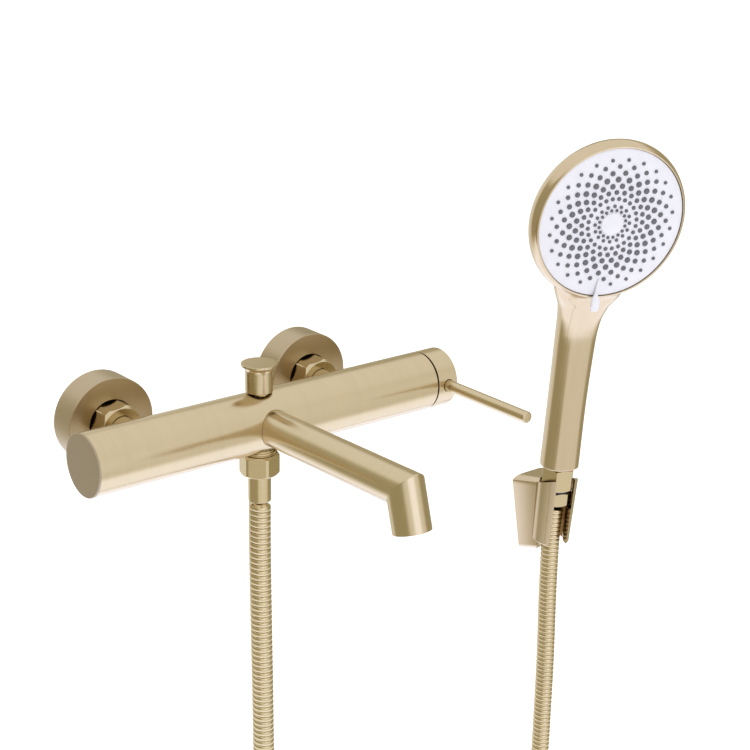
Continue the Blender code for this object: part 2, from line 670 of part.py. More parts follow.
def make_handset():
    handle = skin("handset_shell", handle_rings(HANDLE_SECTIONS, 24), GOLD)
    on_hand(handle)
    dome = face_turned("shell_dome", [
        (0, -0.0010), (0.0553, -0.0010), (0.0553, 0.0), (0.0564, -0.0001),
        (RIM_R, -0.0008), (0.0583, -0.0030), (0.0591, -0.0055), (0.0593, -0.0080),
        (0.0588, -0.0105), (0.0577, -0.0130), (0.0560, -0.0152), (0.0535, -0.0172),
        (0.0490, -0.0190), (0.0400, -0.0207), (0.0260, -0.0218), (0.0130, -0.0222),
        (0, -0.0224)], GOLD, 40, cutter=True)
    boolean(handle, dome, "UNION")
    hollow = face_turned("shell_hollow", [
        (0, 0.0030), (0.0554, 0.0030), (0.0554, -0.0100), (0.0500, -0.0150),
        (0.0380, -0.0172), (0, -0.0186)], GOLD, 32, cutter=True)
    boolean(handle, hollow)
    way = [(Vector((0, 0, -0.004)), 0.0105), (Vector((0, 0, 0.100)), 0.0105),
           (Vector((0, -0.0040, 0.130)), 0.0105), (Vector((0, -0.0170, 0.165)), 0.0105),
           (Vector((0, -0.0290, 0.185)), 0.0090)]
    duct = skin("shell_duct", mitred(way, 16), GOLD, cutter=True)
    on_hand(duct)
    boolean(handle, duct)
    tube = [(Vector((0, 0, 0.0183)), 0.0082), (Vector((0, 0, 0.100)), 0.0082),
            (Vector((0, -0.0040, 0.130)), 0.0082), (Vector((0, -0.0148, 0.159)), 0.0082)]
    bores = [(p, 0.0062) for p, _ in tube]
    on_hand(skin("waterway_tube", mitred(tube, 16), GREY, inner=mitred(bores, 16)))
    hand_turned("handset_connector", [
        (0.0102, 0.0180), (0.0102, 0.0006), (0.0098, 0.0003), (0.0098, -0.0120),
        (0.0094, -0.0125), (0.0060, -0.0125), (0.0060, 0.0180)], BRASS, 24, ring=True)
    make_spray_face()


def make_spray_face():
    disc = face_turned("flow_disc", [
        (0, -0.0066), (0.0500, -0.0066), (0.0500, -0.0090), (0, -0.0090)], GREY, 32)
    for k in range(6):
        a = math.tau * (k + 0.25) / 6
        c = Vector((0.030 * math.cos(a), 0, 0.030 * math.sin(a)))
        pin = turned("cut_flow_%d" % k, [(0, 0.01), (0.0025, 0.01), (0.0025, -0.02),
                                         (0, -0.02)], steps=10,
                     loc=FACE_C + c, axis=face_axis(), cutter=True)
        boolean(disc, on_hand(pin))
    face_turned("nozzle_mat", [
        (0.0535, -0.0036), (0.0535, -0.0054), (0.0045, -0.0054), (0.0045, -0.0036)],
        GREY, 28, ring=True)
    face_turned("spray_plate", [
        (0.0250, 0.0003), (0.0420, -0.0003), (0.0546, -0.0009), (0.0551, -0.0014),
        (0.0551, -0.0033), (0.0030, -0.0033), (0.0030, 0.0006)], WHITE, 40, ring=True)
    face_turned("centre_cap", [
        (0, 0.0016), (0.0074, 0.0015), (0.0083, 0.0012), (0.0084, 0.0009), (0, 0.0009)],
        WHITE, 24)
    face_turned("centre_screw", [
        (0, 0.0004), (0.0027, 0.0004), (0.0027, -0.0063), (0, -0.0063)], STEEL, 16)
    make_tab()


def make_tab():
    """Selector tab: a narrow ridge on the face that widens past the rim."""
    n = face_axis()
    down = Vector((0, math.sin(FACE_TILT), -math.cos(FACE_TILT)))
    side = Vector((1, 0, 0))
    # the tab rests a little to the left of the handle
    down, side = (down * math.cos(TAB_TURN) - side * math.sin(TAB_TURN),
                  side * math.cos(TAB_TURN) + down * math.sin(TAB_TURN))
    # (distance from the centre, half width, back height, front height)
    stations = ((0.0440, 0.0007, 0.0000, 0.0006), (0.0500, 0.0011, -0.0003, 0.0012),
                (0.0545, 0.0014, -0.0004, 0.0020), (0.0556, 0.0028, 0.0006, 0.0028),
                (0.0575, 0.0034, 0.0010, 0.0040), (0.0620, 0.0034, 0.0016, 0.0048),
                (0.0645, 0.0030, 0.0020, 0.0048), (0.0655, 0.0022, 0.0024, 0.0044))
    rings = []
    for d, w, low, high in stations:
        c = FACE_C + down * d
        edge = min(0.0010, (high - low) * 0.4)
        rings.append([c - side * w + n * low, c + side * w + n * low,
                      c + side * w + n * (high - edge),
                      c + side * (w - edge * 0.7) + n * high,
                      c - side * (w - edge * 0.7) + n * high,
                      c - side * w + n * (high - edge)])
    on_hand(skin("selector_tab", rings, WHITE))


def make_hose_end():
    def at(s):
        return HAND @ Vector((0, 0, s))

    hex_nut("swivel_nut", 0.0225, at(-0.0010), at(-0.0190), 0.0069, GOLD, 20.0,
            0.0008, (0.0101, 0.0158))
    washer("handset_washer", 0.0095, 0.0050, at(-0.0128), at(-0.0145), BLACK, 28)
    washer("swivel_o_ring", 0.0104, 0.0069, at(-0.0193), at(-0.0209), BLACK, 32)
    ferrule = hex_nut("hose_end_ferrule", 0.0195, at(-0.0212), at(-0.0320), 0.0045,
                      GOLD, 20.0, 0.0006)
    neck = hand_turned("ferrule_neck", [
        (0.0096, -0.0148), (0.0096, -0.0165), (0.0066, -0.0165), (0.0066, -0.0250),
        (0.0045, -0.0250), (0.0045, -0.0148)], GOLD, 18, ring=True, cutter=True)
    boolean(ferrule, neck, "UNION")


# ---------------------------------------------------------------------------
# wall holder

def holder_frame():
    """Axis of the seat, turned so that its slot faces local -Y."""
    up = Vector(HAND_UP).normalized()
    front = Vector((math.sin(HOLDER_YAW), -math.cos(HOLDER_YAW), 0))
    front = (front - up * front.dot(up)).normalized()
    side = (-front).cross(up)
    rot = Matrix((side, -front, up)).transposed()
    return Matrix.Translation(Vector(HAND_BASE)) @ rot.to_4x4()


def web_rings(back, front, run, across, rise):
    """Level rings of the web between the wall and the cup, bottom to top.

    back and front give (half width, height) at the bottom and at the top;
    run is how far it reaches out of the wall; rise rounds both ends over.
    """
    levels = [(-1.0, 0.40), (-0.75, 0.70), (-0.38, 0.92)]
    levels += [(0.0, 1.0), (1.0, 1.0)]
    levels += [(1.38, 0.92), (1.75, 0.70), (2.0, 0.40)]
    rings = []
    for level, narrow in levels:
        t = min(1.0, max(0.0, level))
        over = (level - t) * rise
        side = []
        for k in range(across + 1):
            u = k / across
            half = [b[0] * (1 - u) + f[0] * u for b, f in zip(back, front)]
            high = [b[1] * (1 - u) + f[1] * u for b, f in zip(back, front)]
            side.append(((half[0] * (1 - t) + half[1] * t) * narrow, -run * u,
                         high[0] * (1 - t) + high[1] * t + over))
        rings.append([Vector((HAND_BASE[0] - x, y, z)) for x, y, z in side]
                     + [Vector((HAND_BASE[0] + x, y, z)) for x, y, z in reversed(side)])
    return rings


WEB_BACK = ((0.0086, -0.1908), (0.0183, -0.1345))       # at the wall: bottom, top
WEB_FRONT = ((0.0082, -0.1850), (0.0098, -0.1328))      # where it meets the cup
WEB_RUN = 0.0200
WEB_RISE = 0.0038
LIP_AT, LIP_SLOPE = -0.0136, 0.45                       # the cup's lip rises forwards


def make_holder():
    seat = holder_frame()
    rings = web_rings(WEB_BACK, WEB_FRONT, WEB_RUN, 1, WEB_RISE)
    holder = skin("wall_holder", rings, GOLD)
    cup = turned("holder_cup", [
        (0, HOLDER_TOP + 0.0040), (0.0149, HOLDER_TOP + 0.0040),
        (0.0149, HOLDER_TOP + 0.0002), (0.0128, HOLDER_BOTTOM + 0.0008),
        (0.0121, HOLDER_BOTTOM), (0, HOLDER_BOTTOM)], steps=30, cutter=True)
    cup.matrix_world = seat @ cup.matrix_world
    slope = Matrix.Translation(Vector((0, 0, LIP_AT)))
    slope = slope @ Matrix.Rotation(-math.atan(LIP_SLOPE), 4, "X")
    boolean(cup, box("cut_lip", (0.08, 0.08, 0.04), (0, 0, 0.02), seat @ slope,
                     cutter=True))
    boolean(holder, cup, "UNION")
    cone = turned("cut_seat_cone", [
        (0, 0.0100), (0.0139, 0.0100), (0.0137, HOLDER_TOP), (0.0133, HOLDER_LEDGE),
        (0.0118, HOLDER_LEDGE), (0.0118, -0.0340), (0.0098, -0.0360),
        (0.0098, HOLDER_BOTTOM - 0.02), (0, HOLDER_BOTTOM - 0.02)], steps=28, cutter=True)
    cone.matrix_world = seat @ cone.matrix_world
    boolean(holder, cone)
    boolean(holder, box("cut_slot", (0.0152, 0.0300, 0.1000), (0, -0.0143, -0.0350),
                        seat, cutter=True))


clear_scene()
make_body()
make_end_cap()
make_inlet("left", -INLET_X)
make_inlet("right", INLET_X)
make_cartridge()
make_handle()
make_spout()
make_diverter()
make_outlet()
make_hose()
make_handset()
make_hose_end()
make_holder()
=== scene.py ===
import math

import bmesh
import bpy
from mathutils import Matrix, Vector
from mathutils.kdtree import KDTree


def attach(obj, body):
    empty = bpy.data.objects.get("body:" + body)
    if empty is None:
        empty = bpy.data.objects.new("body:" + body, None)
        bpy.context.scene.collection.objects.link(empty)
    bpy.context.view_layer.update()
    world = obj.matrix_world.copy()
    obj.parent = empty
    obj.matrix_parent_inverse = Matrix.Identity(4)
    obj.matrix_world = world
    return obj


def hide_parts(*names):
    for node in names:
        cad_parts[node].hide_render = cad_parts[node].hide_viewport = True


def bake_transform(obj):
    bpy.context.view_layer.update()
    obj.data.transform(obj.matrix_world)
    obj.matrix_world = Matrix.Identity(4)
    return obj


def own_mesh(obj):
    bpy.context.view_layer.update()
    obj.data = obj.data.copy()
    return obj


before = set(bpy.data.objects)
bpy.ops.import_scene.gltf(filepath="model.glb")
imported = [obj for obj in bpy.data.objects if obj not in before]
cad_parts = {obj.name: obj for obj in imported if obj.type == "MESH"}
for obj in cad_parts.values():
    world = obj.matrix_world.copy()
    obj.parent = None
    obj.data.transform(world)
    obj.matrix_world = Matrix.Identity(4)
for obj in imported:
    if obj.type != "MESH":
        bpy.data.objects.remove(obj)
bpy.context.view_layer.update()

# ---- sizes shared with the CAD, in metres --------------------------------
AXIS_Y = -0.0691
BODY_R = 0.01925
BODY_LEFT = -0.1219
BODY_RIGHT = 0.1291
END_LEFT = -0.1232
INLET_X = 0.0750
CAP_LEFT, CAP_RIGHT = 0.1303, 0.1457
LEVER_X, LEVER_R, LEVER_TIP_Y = 0.1382, 0.00385, -0.1630
SPOUT_R = 0.0114
SPOUT_ELBOW = Vector((0.0, -0.2099, 0.0028))
SPOUT_TIP = Vector((0.0, -0.2166, -0.0206))
ESC_R, ESC_DEPTH, ESC_HOLE = 0.0291, 0.0196, 0.0153
NUT_AF, NUT_CORNER = 0.0275, 0.0149
HOSE_NUT_AF, HOSE_NUT_CORNER = 0.0226, 0.0126
THREAD_R = 0.0104
HOSE_R = 0.0070
HOSE_PITCH = 0.00365
HAND_BASE = Vector((0.3050, -0.0310, -0.1150))
HAND_UP = Vector((0.0, -0.0777, 0.9970)).normalized()
HAND_FRONT = Vector((-0.3395, -0.9378, -0.0730))
FACE_UP, FACE_OUT, FACE_TILT = 0.2036, 0.0358, math.radians(4.04)
RIM_R = 0.0572
HOLDER_YAW = math.radians(-17.0)
HOLDER_TOP, HOLDER_LEDGE, HOLDER_BOTTOM = -0.0082, -0.0193, -0.0620

HOSE_ROUTE = (
    (0.0000, AXIS_Y, -0.0527), (0.0000, AXIS_Y, -0.0900),
    (0.0012, AXIS_Y - 0.0002, -0.1800), (0.0040, -0.0680, -0.2900),
    (0.0125, -0.0655, -0.4179), (0.0345, -0.0620, -0.5319),
    (0.0800, -0.0575, -0.6261), (0.1480, -0.0530, -0.6662),
    (0.2150, -0.0485, -0.6377), (0.2640, -0.0440, -0.5552),
    (0.2900, -0.0390, -0.4389), (0.3005, -0.0325, -0.3016),
    (0.3038, -0.0275, -0.2150), (0.3048, -0.0268, -0.1750),
    (0.3050, -0.0285, -0.1472))

# ---------------------------------------------------------------------------
# camera

CAMERA_AT = Vector((-0.55222, -0.86024, 0.36547))
CAMERA_AZ, CAMERA_EL, CAMERA_ROLL = (math.radians(a) for a in (-39.12, 19.145, 1.05))


def make_camera():
    back = Vector((math.sin(CAMERA_AZ) * math.cos(CAMERA_EL),
                   -math.cos(CAMERA_AZ) * math.cos(CAMERA_EL), math.sin(CAMERA_EL)))
    data = bpy.data.cameras.new("camera")
    data.lens = 80.18
    data.sensor_width = 36.0
    data.clip_start, data.clip_end = 0.05, 200.0
    cam = bpy.data.objects.new("camera", data)
    bpy.context.scene.collection.objects.link(cam)
    turn = (-back).to_track_quat("-Z", "Y").to_matrix()
    roll = Matrix.Rotation(CAMERA_ROLL, 3, "Z")
    cam.matrix_world = Matrix.Translation(CAMERA_AT) @ (turn @ roll).to_4x4()
    bpy.context.scene.camera = cam


# ---------------------------------------------------------------------------
# materials

def new_material(name, colour, metallic, rough):
    mat = bpy.data.materials.new(name)
    mat.use_nodes = True
    tree = mat.node_tree
    bsdf = tree.nodes["Principled BSDF"]
    bsdf.inputs["Base Color"].default_value = (*colour, 1.0)
    bsdf.inputs["Metallic"].default_value = metallic
    bsdf.inputs["Roughness"].default_value = rough
    return mat, tree, bsdf


def node(tree, kind, **values):
    made = tree.nodes.new(kind)
    for key, value in values.items():
        if hasattr(made, key):
            setattr(made, key, value)
        else:
            made.inputs[key.replace("_", " ")].default_value = value
    return made


def noise(tree, scale_xyz, detail=3.0, rough=0.55):
    """Noise over object coordinates, stretched by its three scales."""
    coord = tree.nodes.new("ShaderNodeTexCoord")
    mapping = node(tree, "ShaderNodeMapping")
    mapping.inputs["Scale"].default_value = scale_xyz
    tree.links.new(coord.outputs["Object"], mapping.inputs["Vector"])
    tex = node(tree, "ShaderNodeTexNoise", Scale=1.0, Detail=detail, Roughness=rough)
    tree.links.new(mapping.outputs["Vector"], tex.inputs["Vector"])
    return tex.outputs["Fac"]


def spread(tree, value, low, high):
    """Map the middle of a noise to a range."""
    ramp = node(tree, "ShaderNodeMapRange")
    ramp.inputs["From Min"].default_value = 0.3
    ramp.inputs["From Max"].default_value = 0.7
    ramp.inputs["To Min"].default_value = low
    ramp.inputs["To Max"].default_value = high
    tree.links.new(value, ramp.inputs["Value"])
    return ramp.outputs["Result"]


def tint(tree, value, first, second):
    mix = node(tree, "ShaderNodeMix", data_type="RGBA")
    mix.inputs["A"].default_value = (*first, 1.0)
    mix.inputs["B"].default_value = (*second, 1.0)
    # the colour sockets share their names with the number ones
    colours = [s for s in mix.inputs if s.type == "RGBA"]
    colours[0].default_value = (*first, 1.0)
    colours[1].default_value = (*second, 1.0)
    tree.links.new(value, mix.inputs["Factor"])
    return next(s for s in mix.outputs if s.type == "RGBA")


def metal(name, colour, rough, along=30.0, across=2600.0, grain=0.00002, vary=0.05,
          flow="Z", aniso=0.0):
    """Brushed plated metal: fine lines across the piece's own Z axis."""
    mat, tree, bsdf = new_material(name, colour, 1.0, rough)
    scales = {"Z": (along, along, across), "N": (900.0, 900.0, 900.0),
              "L": (across, across, along)}[flow]
    lines = noise(tree, scales, 2.0)
    clouds = noise(tree, tuple(s * 0.03 for s in scales), 3.0)
    both = node(tree, "ShaderNodeMath", operation="MULTIPLY_ADD")
    both.inputs[1].default_value = 0.5
    tree.links.new(lines, both.inputs[0])
    half = node(tree, "ShaderNodeMath", operation="MULTIPLY")
    half.inputs[1].default_value = 0.5
    tree.links.new(clouds, half.inputs[0])
    tree.links.new(half.outputs[0], both.inputs[2])
    tree.links.new(spread(tree, both.outputs[0], rough * 0.86, rough * 1.16),
                   bsdf.inputs["Roughness"])
    dark = tuple(c * (1 - vary) for c in colour)
    light = tuple(min(1.0, c * (1 + vary)) for c in colour)
    tree.links.new(tint(tree, spread(tree, both.outputs[0], 0.0, 1.0), dark, light),
                   bsdf.inputs["Base Color"])
    bump = node(tree, "ShaderNodeBump", Strength=0.35, Distance=grain)
    tree.links.new(lines, bump.inputs["Height"])
    tree.links.new(bump.outputs["Normal"], bsdf.inputs["Normal"])
    bsdf.inputs["Anisotropic"].default_value = aniso
    return mat


def plastic(name, colour, rough, grain=0.00003, vary=0.03, scale=1400.0, coat=0.0):
    """Moulded plastic or rubber with a fine spark-eroded grain."""
    mat, tree, bsdf = new_material(name, colour, 0.0, rough)
    fine = noise(tree, (scale,) * 3, 2.0)
    broad = noise(tree, (60.0,) * 3, 3.0)
    dark = tuple(c * (1 - vary) for c in colour)
    light = tuple(min(1.0, c * (1 + vary)) for c in colour)
    tree.links.new(tint(tree, spread(tree, broad, 0.0, 1.0), dark, light),
                   bsdf.inputs["Base Color"])
    tree.links.new(spread(tree, fine, rough * 0.9, rough * 1.1), bsdf.inputs["Roughness"])
    bump = node(tree, "ShaderNodeBump", Strength=0.3, Distance=grain)
    tree.links.new(fine, bump.inputs["Height"])
    tree.links.new(bump.outputs["Normal"], bsdf.inputs["Normal"])
    bsdf.inputs["Coat Weight"].default_value = coat
    return mat


SATIN = metal("satin_gold", (0.610, 0.500, 0.315), 0.22)
# the body's satin gold with its colour darkened: painted shade on the flat end plate; its higher
# roughness and even grain are the plate's own
SATIN_FLAT_SHADED = metal("satin_gold_flat_painted_shade", (0.430, 0.352, 0.242), 0.42, flow="N")
# the body's satin gold with its colour darkened: painted shade on the escutcheons
ESC_GOLD_SHADED = metal("escutcheon_gold_painted_shade", (0.470, 0.375, 0.235), 0.30)
POLISHED = metal("polished_gold", (0.610, 0.495, 0.305), 0.18)
HOSE_GOLD = metal("hose_gold", (0.620, 0.505, 0.300), 0.19)
HAND_GOLD = metal("handset_gold", (0.610, 0.495, 0.325), 0.16, flow="L")
HOLDER_GOLD = metal("holder_gold", (0.600, 0.485, 0.330), 0.18, flow="L")
BRASS = metal("raw_brass", (0.600, 0.440, 0.190), 0.38)
STEEL = metal("stainless", (0.560, 0.560, 0.550), 0.30)
BLACK = plastic("black_rubber", (0.012, 0.011, 0.010), 0.50)
BLACK_RING = plastic("black_ring", (0.010, 0.009, 0.008), 0.45)
WHITE = plastic("white_face", (0.740, 0.735, 0.790), 0.40, coat=0.15)
RUBBER = plastic("grey_rubber", (0.120, 0.120, 0.130), 0.55)
GREY = plastic("grey_plastic", (0.150, 0.150, 0.160), 0.45)
CARTRIDGE = plastic("cartridge_plastic", (0.700, 0.700, 0.680), 0.45)
CERAMIC = plastic("ceramic_disc", (0.820, 0.790, 0.740), 0.25)

# ---------------------------------------------------------------------------
# geometry helpers

def place(ob, loc, axis):
    """Put the local origin at loc with local +Z along axis."""
    turn = Vector((0, 0, 1)).rotation_difference(Vector(axis).normalized())
    ob.matrix_world = Matrix.Translation(Vector(loc)) @ turn.to_matrix().to_4x4()
    return ob


def mesh_object(name, verts, faces, mat, sharp=32.0):
    mesh = bpy.data.meshes.new(name)
    mesh.from_pydata([tuple(v) for v in verts], [], faces)
    bm = bmesh.new()
    bm.from_mesh(mesh)
    bmesh.ops.recalc_face_normals(bm, faces=bm.faces)
    bm.to_mesh(mesh)
    bm.free()
    ob = bpy.data.objects.new(name, mesh)
    bpy.context.scene.collection.objects.link(ob)
    mesh.materials.append(mat)
    smooth(mesh, sharp)
    return ob


def smooth(mesh, sharp=32.0):
    for poly in mesh.polygons:
        poly.use_smooth = True
    if sharp:
        mesh.set_sharp_from_angle(angle=math.radians(sharp))


def weighted(ob):
    """Keep large flats flat beside small rounded edges."""
    mod = ob.modifiers.new("weighted", "WEIGHTED_NORMAL")
    mod.mode = "FACE_AREA"
    mod.weight = 80
    mod.keep_sharp = True
    return ob


def filleted(points, steps=4, ring=False):
    """Round the corners of a (radius, height, fillet) profile with arcs."""
    out, count = [], len(points)
    for i, p in enumerate(points):
        r = p[2] if len(p) > 2 else 0.0
        here = Vector(p[:2])
        if r <= 0 or (not ring and i in (0, count - 1)):
            out.append((here.x, here.y))
            continue
        a, b = Vector(points[i - 1][:2]) - here, Vector(points[(i + 1) % count][:2]) - here
        da, db = a.normalized(), b.normalized()
        half = math.acos(max(-1.0, min(1.0, da.dot(db)))) / 2
        d = min(r / math.tan(half), a.length * 0.49, b.length * 0.49)
        centre = here + (da + db).normalized() * (d / math.cos(half))
        va, vb = here + da * d - centre, here + db * d - centre
        ang = va.angle(vb)
        for k in range(steps + 1):
            t = k / steps
            q = centre + (va * math.sin((1 - t) * ang) + vb * math.sin(t * ang)) / math.sin(ang)
            out.append((q.x, q.y))
    return out


def curved(points, step):
    """A Catmull-Rom curve through (radius, height) points, every step or so."""
    pts = [Vector(p) for p in points]
    pts = [pts[0] * 2 - pts[1]] + pts + [pts[-1] * 2 - pts[-2]]
    out = []
    for i in range(1, len(pts) - 2):
        p0, p1, p2, p3 = pts[i - 1:i + 3]
        count = max(1, math.ceil((p2 - p1).length / step))
        for k in range(count):
            t = k / count
            out.append(tuple(0.5 * (p1 * 2 + (p2 - p0) * t
                                    + (p0 * 2 - p1 * 5 + p2 * 4 - p3) * t * t
                                    + (p1 * 3 - p0 - p2 * 3 + p3) * t ** 3)))
    out.append(tuple(pts[-2]))
    return out


def lathe(name, profile, mat, segs=96, loc=(0, 0, 0), axis=(0, 0, 1), ring=False,
          steps=4, sharp=32.0, flat=True):
    """Turn a (radius, height, fillet) profile about local Z."""
    pts = filleted(profile, steps, ring)
    verts, faces, rows = [], [], []
    for r, h in pts:
        if r < 1e-7:
            rows.append([len(verts)])
            verts.append((0.0, 0.0, h))
        else:
            rows.append(list(range(len(verts), len(verts) + segs)))
            verts += [(r * math.cos(math.tau * k / segs), r * math.sin(math.tau * k / segs), h)
                      for k in range(segs)]
    pairs = list(zip(rows, rows[1:])) + ([(rows[-1], rows[0])] if ring else [])
    for a, b in pairs:
        for k in range(segs):
            m = (k + 1) % segs
            if len(a) == 1:
                faces.append((a[0], b[k], b[m]))
            elif len(b) == 1:
                faces.append((a[k], b[0], a[m]))
            else:
                faces.append((a[k], b[k], b[m], a[m]))
    ob = place(mesh_object(name, verts, faces, mat, sharp), loc, axis)
    return weighted(ob) if flat else ob


def carve(ob, *steps):
    """Apply booleans, given as (how, cutter), and drop the cutters."""
    for how, cutter in steps:
        mod = ob.modifiers.new("carve", "BOOLEAN")
        mod.operation = how
        mod.solver = "EXACT"
        mod.object = cutter
        while ob.modifiers.find("carve") > 0:      # ahead of the shading modifiers
            ob.modifiers.move(ob.modifiers.find("carve"), ob.modifiers.find("carve") - 1)
        bpy.context.view_layer.update()
        keep = [(m.type, m) for m in ob.modifiers if m.name != "carve"]
        for _, m in keep:
            m.show_viewport = False
        done = bpy.data.meshes.new_from_object(
            ob.evaluated_get(bpy.context.evaluated_depsgraph_get()))
        for _, m in keep:
            m.show_viewport = True
        ob.modifiers.remove(ob.modifiers["carve"])
        done.name = ob.name
        ob.data = done
        bpy.data.objects.remove(cutter)
    return ob


def radial_normals(ob, radius, tolerance=0.00002):
    """Exact shading on the round wall of a turned piece after carving it."""
    mesh = ob.data
    normals = [Vector(c.vector) for c in mesh.corner_normals]
    for poly in mesh.polygons:
        if abs(poly.normal.z) > 0.3:
            continue
        corners = [mesh.vertices[v].co for v in poly.vertices]
        if all(abs(math.hypot(c.x, c.y) - radius) < tolerance for c in corners):
            for loop, c in zip(poly.loop_indices, corners):
                normals[loop] = Vector((c.x, c.y, 0)).normalized()
    mesh.normals_split_custom_set(normals)


def bevelled(ob, width, angle=40.0, segments=2):
    mod = ob.modifiers.new("bevel", "BEVEL")
    mod.width = width
    mod.segments = segments
    mod.limit_method = "ANGLE"
    mod.angle_limit = math.radians(angle)
    mod.harden_normals = False
    mod.use_clamp_overlap = True
    return weighted(ob)


def hexagon(name, flats, start, end, hole, mat, turn_deg, chamfer, out_r=None):
    """Hexagonal nut with turned chamfers; out_r is where its corners are turned off."""
    start, end = Vector(start), Vector(end)
    length, corner = (end - start).length, flats / math.sqrt(3)
    verts = [(corner * math.cos(math.radians(turn_deg + 60 * k)),
              corner * math.sin(math.radians(turn_deg + 60 * k)), h)
             for h in (0.0, length) for k in range(6)]
    faces = [tuple(range(5, -1, -1)), tuple(range(6, 12))]
    faces += [(k, (k + 1) % 6, 6 + (k + 1) % 6, 6 + k) for k in range(6)]
    ob = mesh_object(name, verts, faces, mat)
    place(ob, start, end - start)
    face_r, out_r = flats / 2 * 0.975, out_r or corner + 0.0002
    lens = lathe("lens", [(0, length), (face_r, length), (out_r, length - chamfer * 1.6),
                          (out_r, chamfer * 1.6), (face_r, 0.0), (0, 0.0)], mat, 96,
                 start, end - start, flat=False)
    drill = lathe("drill", [(0, length + 0.002), (hole, length + 0.002), (hole, -0.002),
                            (0, -0.002)], mat, 64, start, end - start, flat=False)
    carve(ob, ("INTERSECT", lens), ("DIFFERENCE", drill))
    smooth(ob.data, 20.0)
    return bevelled(ob, 0.00018, 18.0)


def finish_piece(ob, body, slot, *nodes):
    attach(ob, body)
    if nodes:
        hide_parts(*nodes)
    return ob


# ---------------------------------------------------------------------------
# mixer

def make_body():
    length = BODY_RIGHT - BODY_LEFT
    body = lathe("body_tube", [
        (0, 0.0), (BODY_R, 0.0), (BODY_R, length, 0.0003), (0.0165, length, 0.0002),
        (0.0165, length - 0.0420), (0, length - 0.0420)], SATIN, 192,
        (BODY_LEFT, AXIS_Y, 0), (1, 0, 0), flat=False)
    root = Vector((0, AXIS_Y, 0))
    cuts = [("DIFFERENCE", lathe("spout_hole", [
        (0, 0.03), (SPOUT_R + 0.00012, 0.03), (SPOUT_R + 0.00012, 0.0105), (0, 0.0105)],
        SATIN, 96, root, SPOUT_ELBOW - root, flat=False))]
    cuts.append(("DIFFERENCE", lathe("outlet_hole", [
        (0, 0.03), (THREAD_R + 0.0003, 0.03), (THREAD_R + 0.0003, 0.0135), (0, 0.0135)],
        SATIN, 96, root, (0, 0, -1), flat=False)))
    cuts.append(("DIFFERENCE", lathe("knob_hole", [
        (0, 0.03), (0.0068, 0.03), (0.0068, 0.0100), (0, 0.0100)],
        SATIN, 64, root, (0, 0, 1), flat=False)))
    for x in (-INLET_X, INLET_X):
        cuts.append(("UNION", lathe("boss", [
            (0, 0.0100), (0.0100, 0.0100), (0.0100, 0.0213, 0.0005), (0, 0.0213)],
            SATIN, 96, (x, AXIS_Y, 0), (0, 1, 0), flat=False)))
        cuts.append(("DIFFERENCE", lathe("inlet_hole", [
            (0, 0.0251), (0.0078, 0.0251), (0.0078, 0.0092), (0, 0.0092)],
            SATIN, 64, (x, AXIS_Y, 0), (0, 1, 0), flat=False)))
    carve(body, *cuts)
    smooth(body.data, 30.0)
    radial_normals(body, BODY_R)
    finish_piece(body, "mixer", "satin_gold", "mixer_body")
    # end plate in the darkened satin gold, which paints shade on it
    end = lathe("end_plate", [
        (0, 0.0120), (0.0150, 0.0120), (0.0150, 0.00125), (BODY_R, 0.00125),
        (BODY_R, 0, 0.00045), (0, 0)], SATIN_FLAT_SHADED, 192, (END_LEFT, AXIS_Y, 0), (1, 0, 0))
    finish_piece(end, "mixer", "satin_gold", "end_cap")


def make_inlet(side, x):
    d = ESC_DEPTH
    wall = Vector((x, 0, 0))
    # escutcheon in the darkened gold, which paints shade on it
    esc = lathe("flange_" + side, [
        (ESC_R, 0.0, 0.0003), (ESC_R, -d, 0.0005), (ESC_HOLE, -d, 0.0004),
        (ESC_HOLE, -d + 0.0026), (0.0268, -d + 0.0026), (0.0268, -0.0115),
        (0.0140, -0.0115), (0.0140, -0.0050), (0.0268, -0.0050), (0.0268, 0.0)],
        ESC_GOLD_SHADED, 160, wall, (0, 1, 0), ring=True)
    finish_piece(esc, "mixer", "satin_gold", "escutcheon_" + side)
    nut = hexagon("union_hexagon_" + side, NUT_AF, wall + Vector((0, -0.0145, 0)),
                  wall + Vector((0, -0.0325, 0)), 0.0089, POLISHED, 8.0, 0.0013,
                  NUT_CORNER)
    finish_piece(nut, "mixer", "polished_gold", "union_nut_" + side)
    tail = lathe("tail_collar_" + side, [
        (0.0106, -0.0269), (0.0106, -0.0291), (0.0086, -0.0291), (0.0086, -0.0475),
        (0.0075, -0.0475), (0.0075, -0.0590), (0.0055, -0.0590), (0.0055, -0.0269)],
        SATIN, 96, wall, (0, 1, 0), ring=True)
    finish_piece(tail, "mixer", "satin_gold", "inlet_tail_" + side)


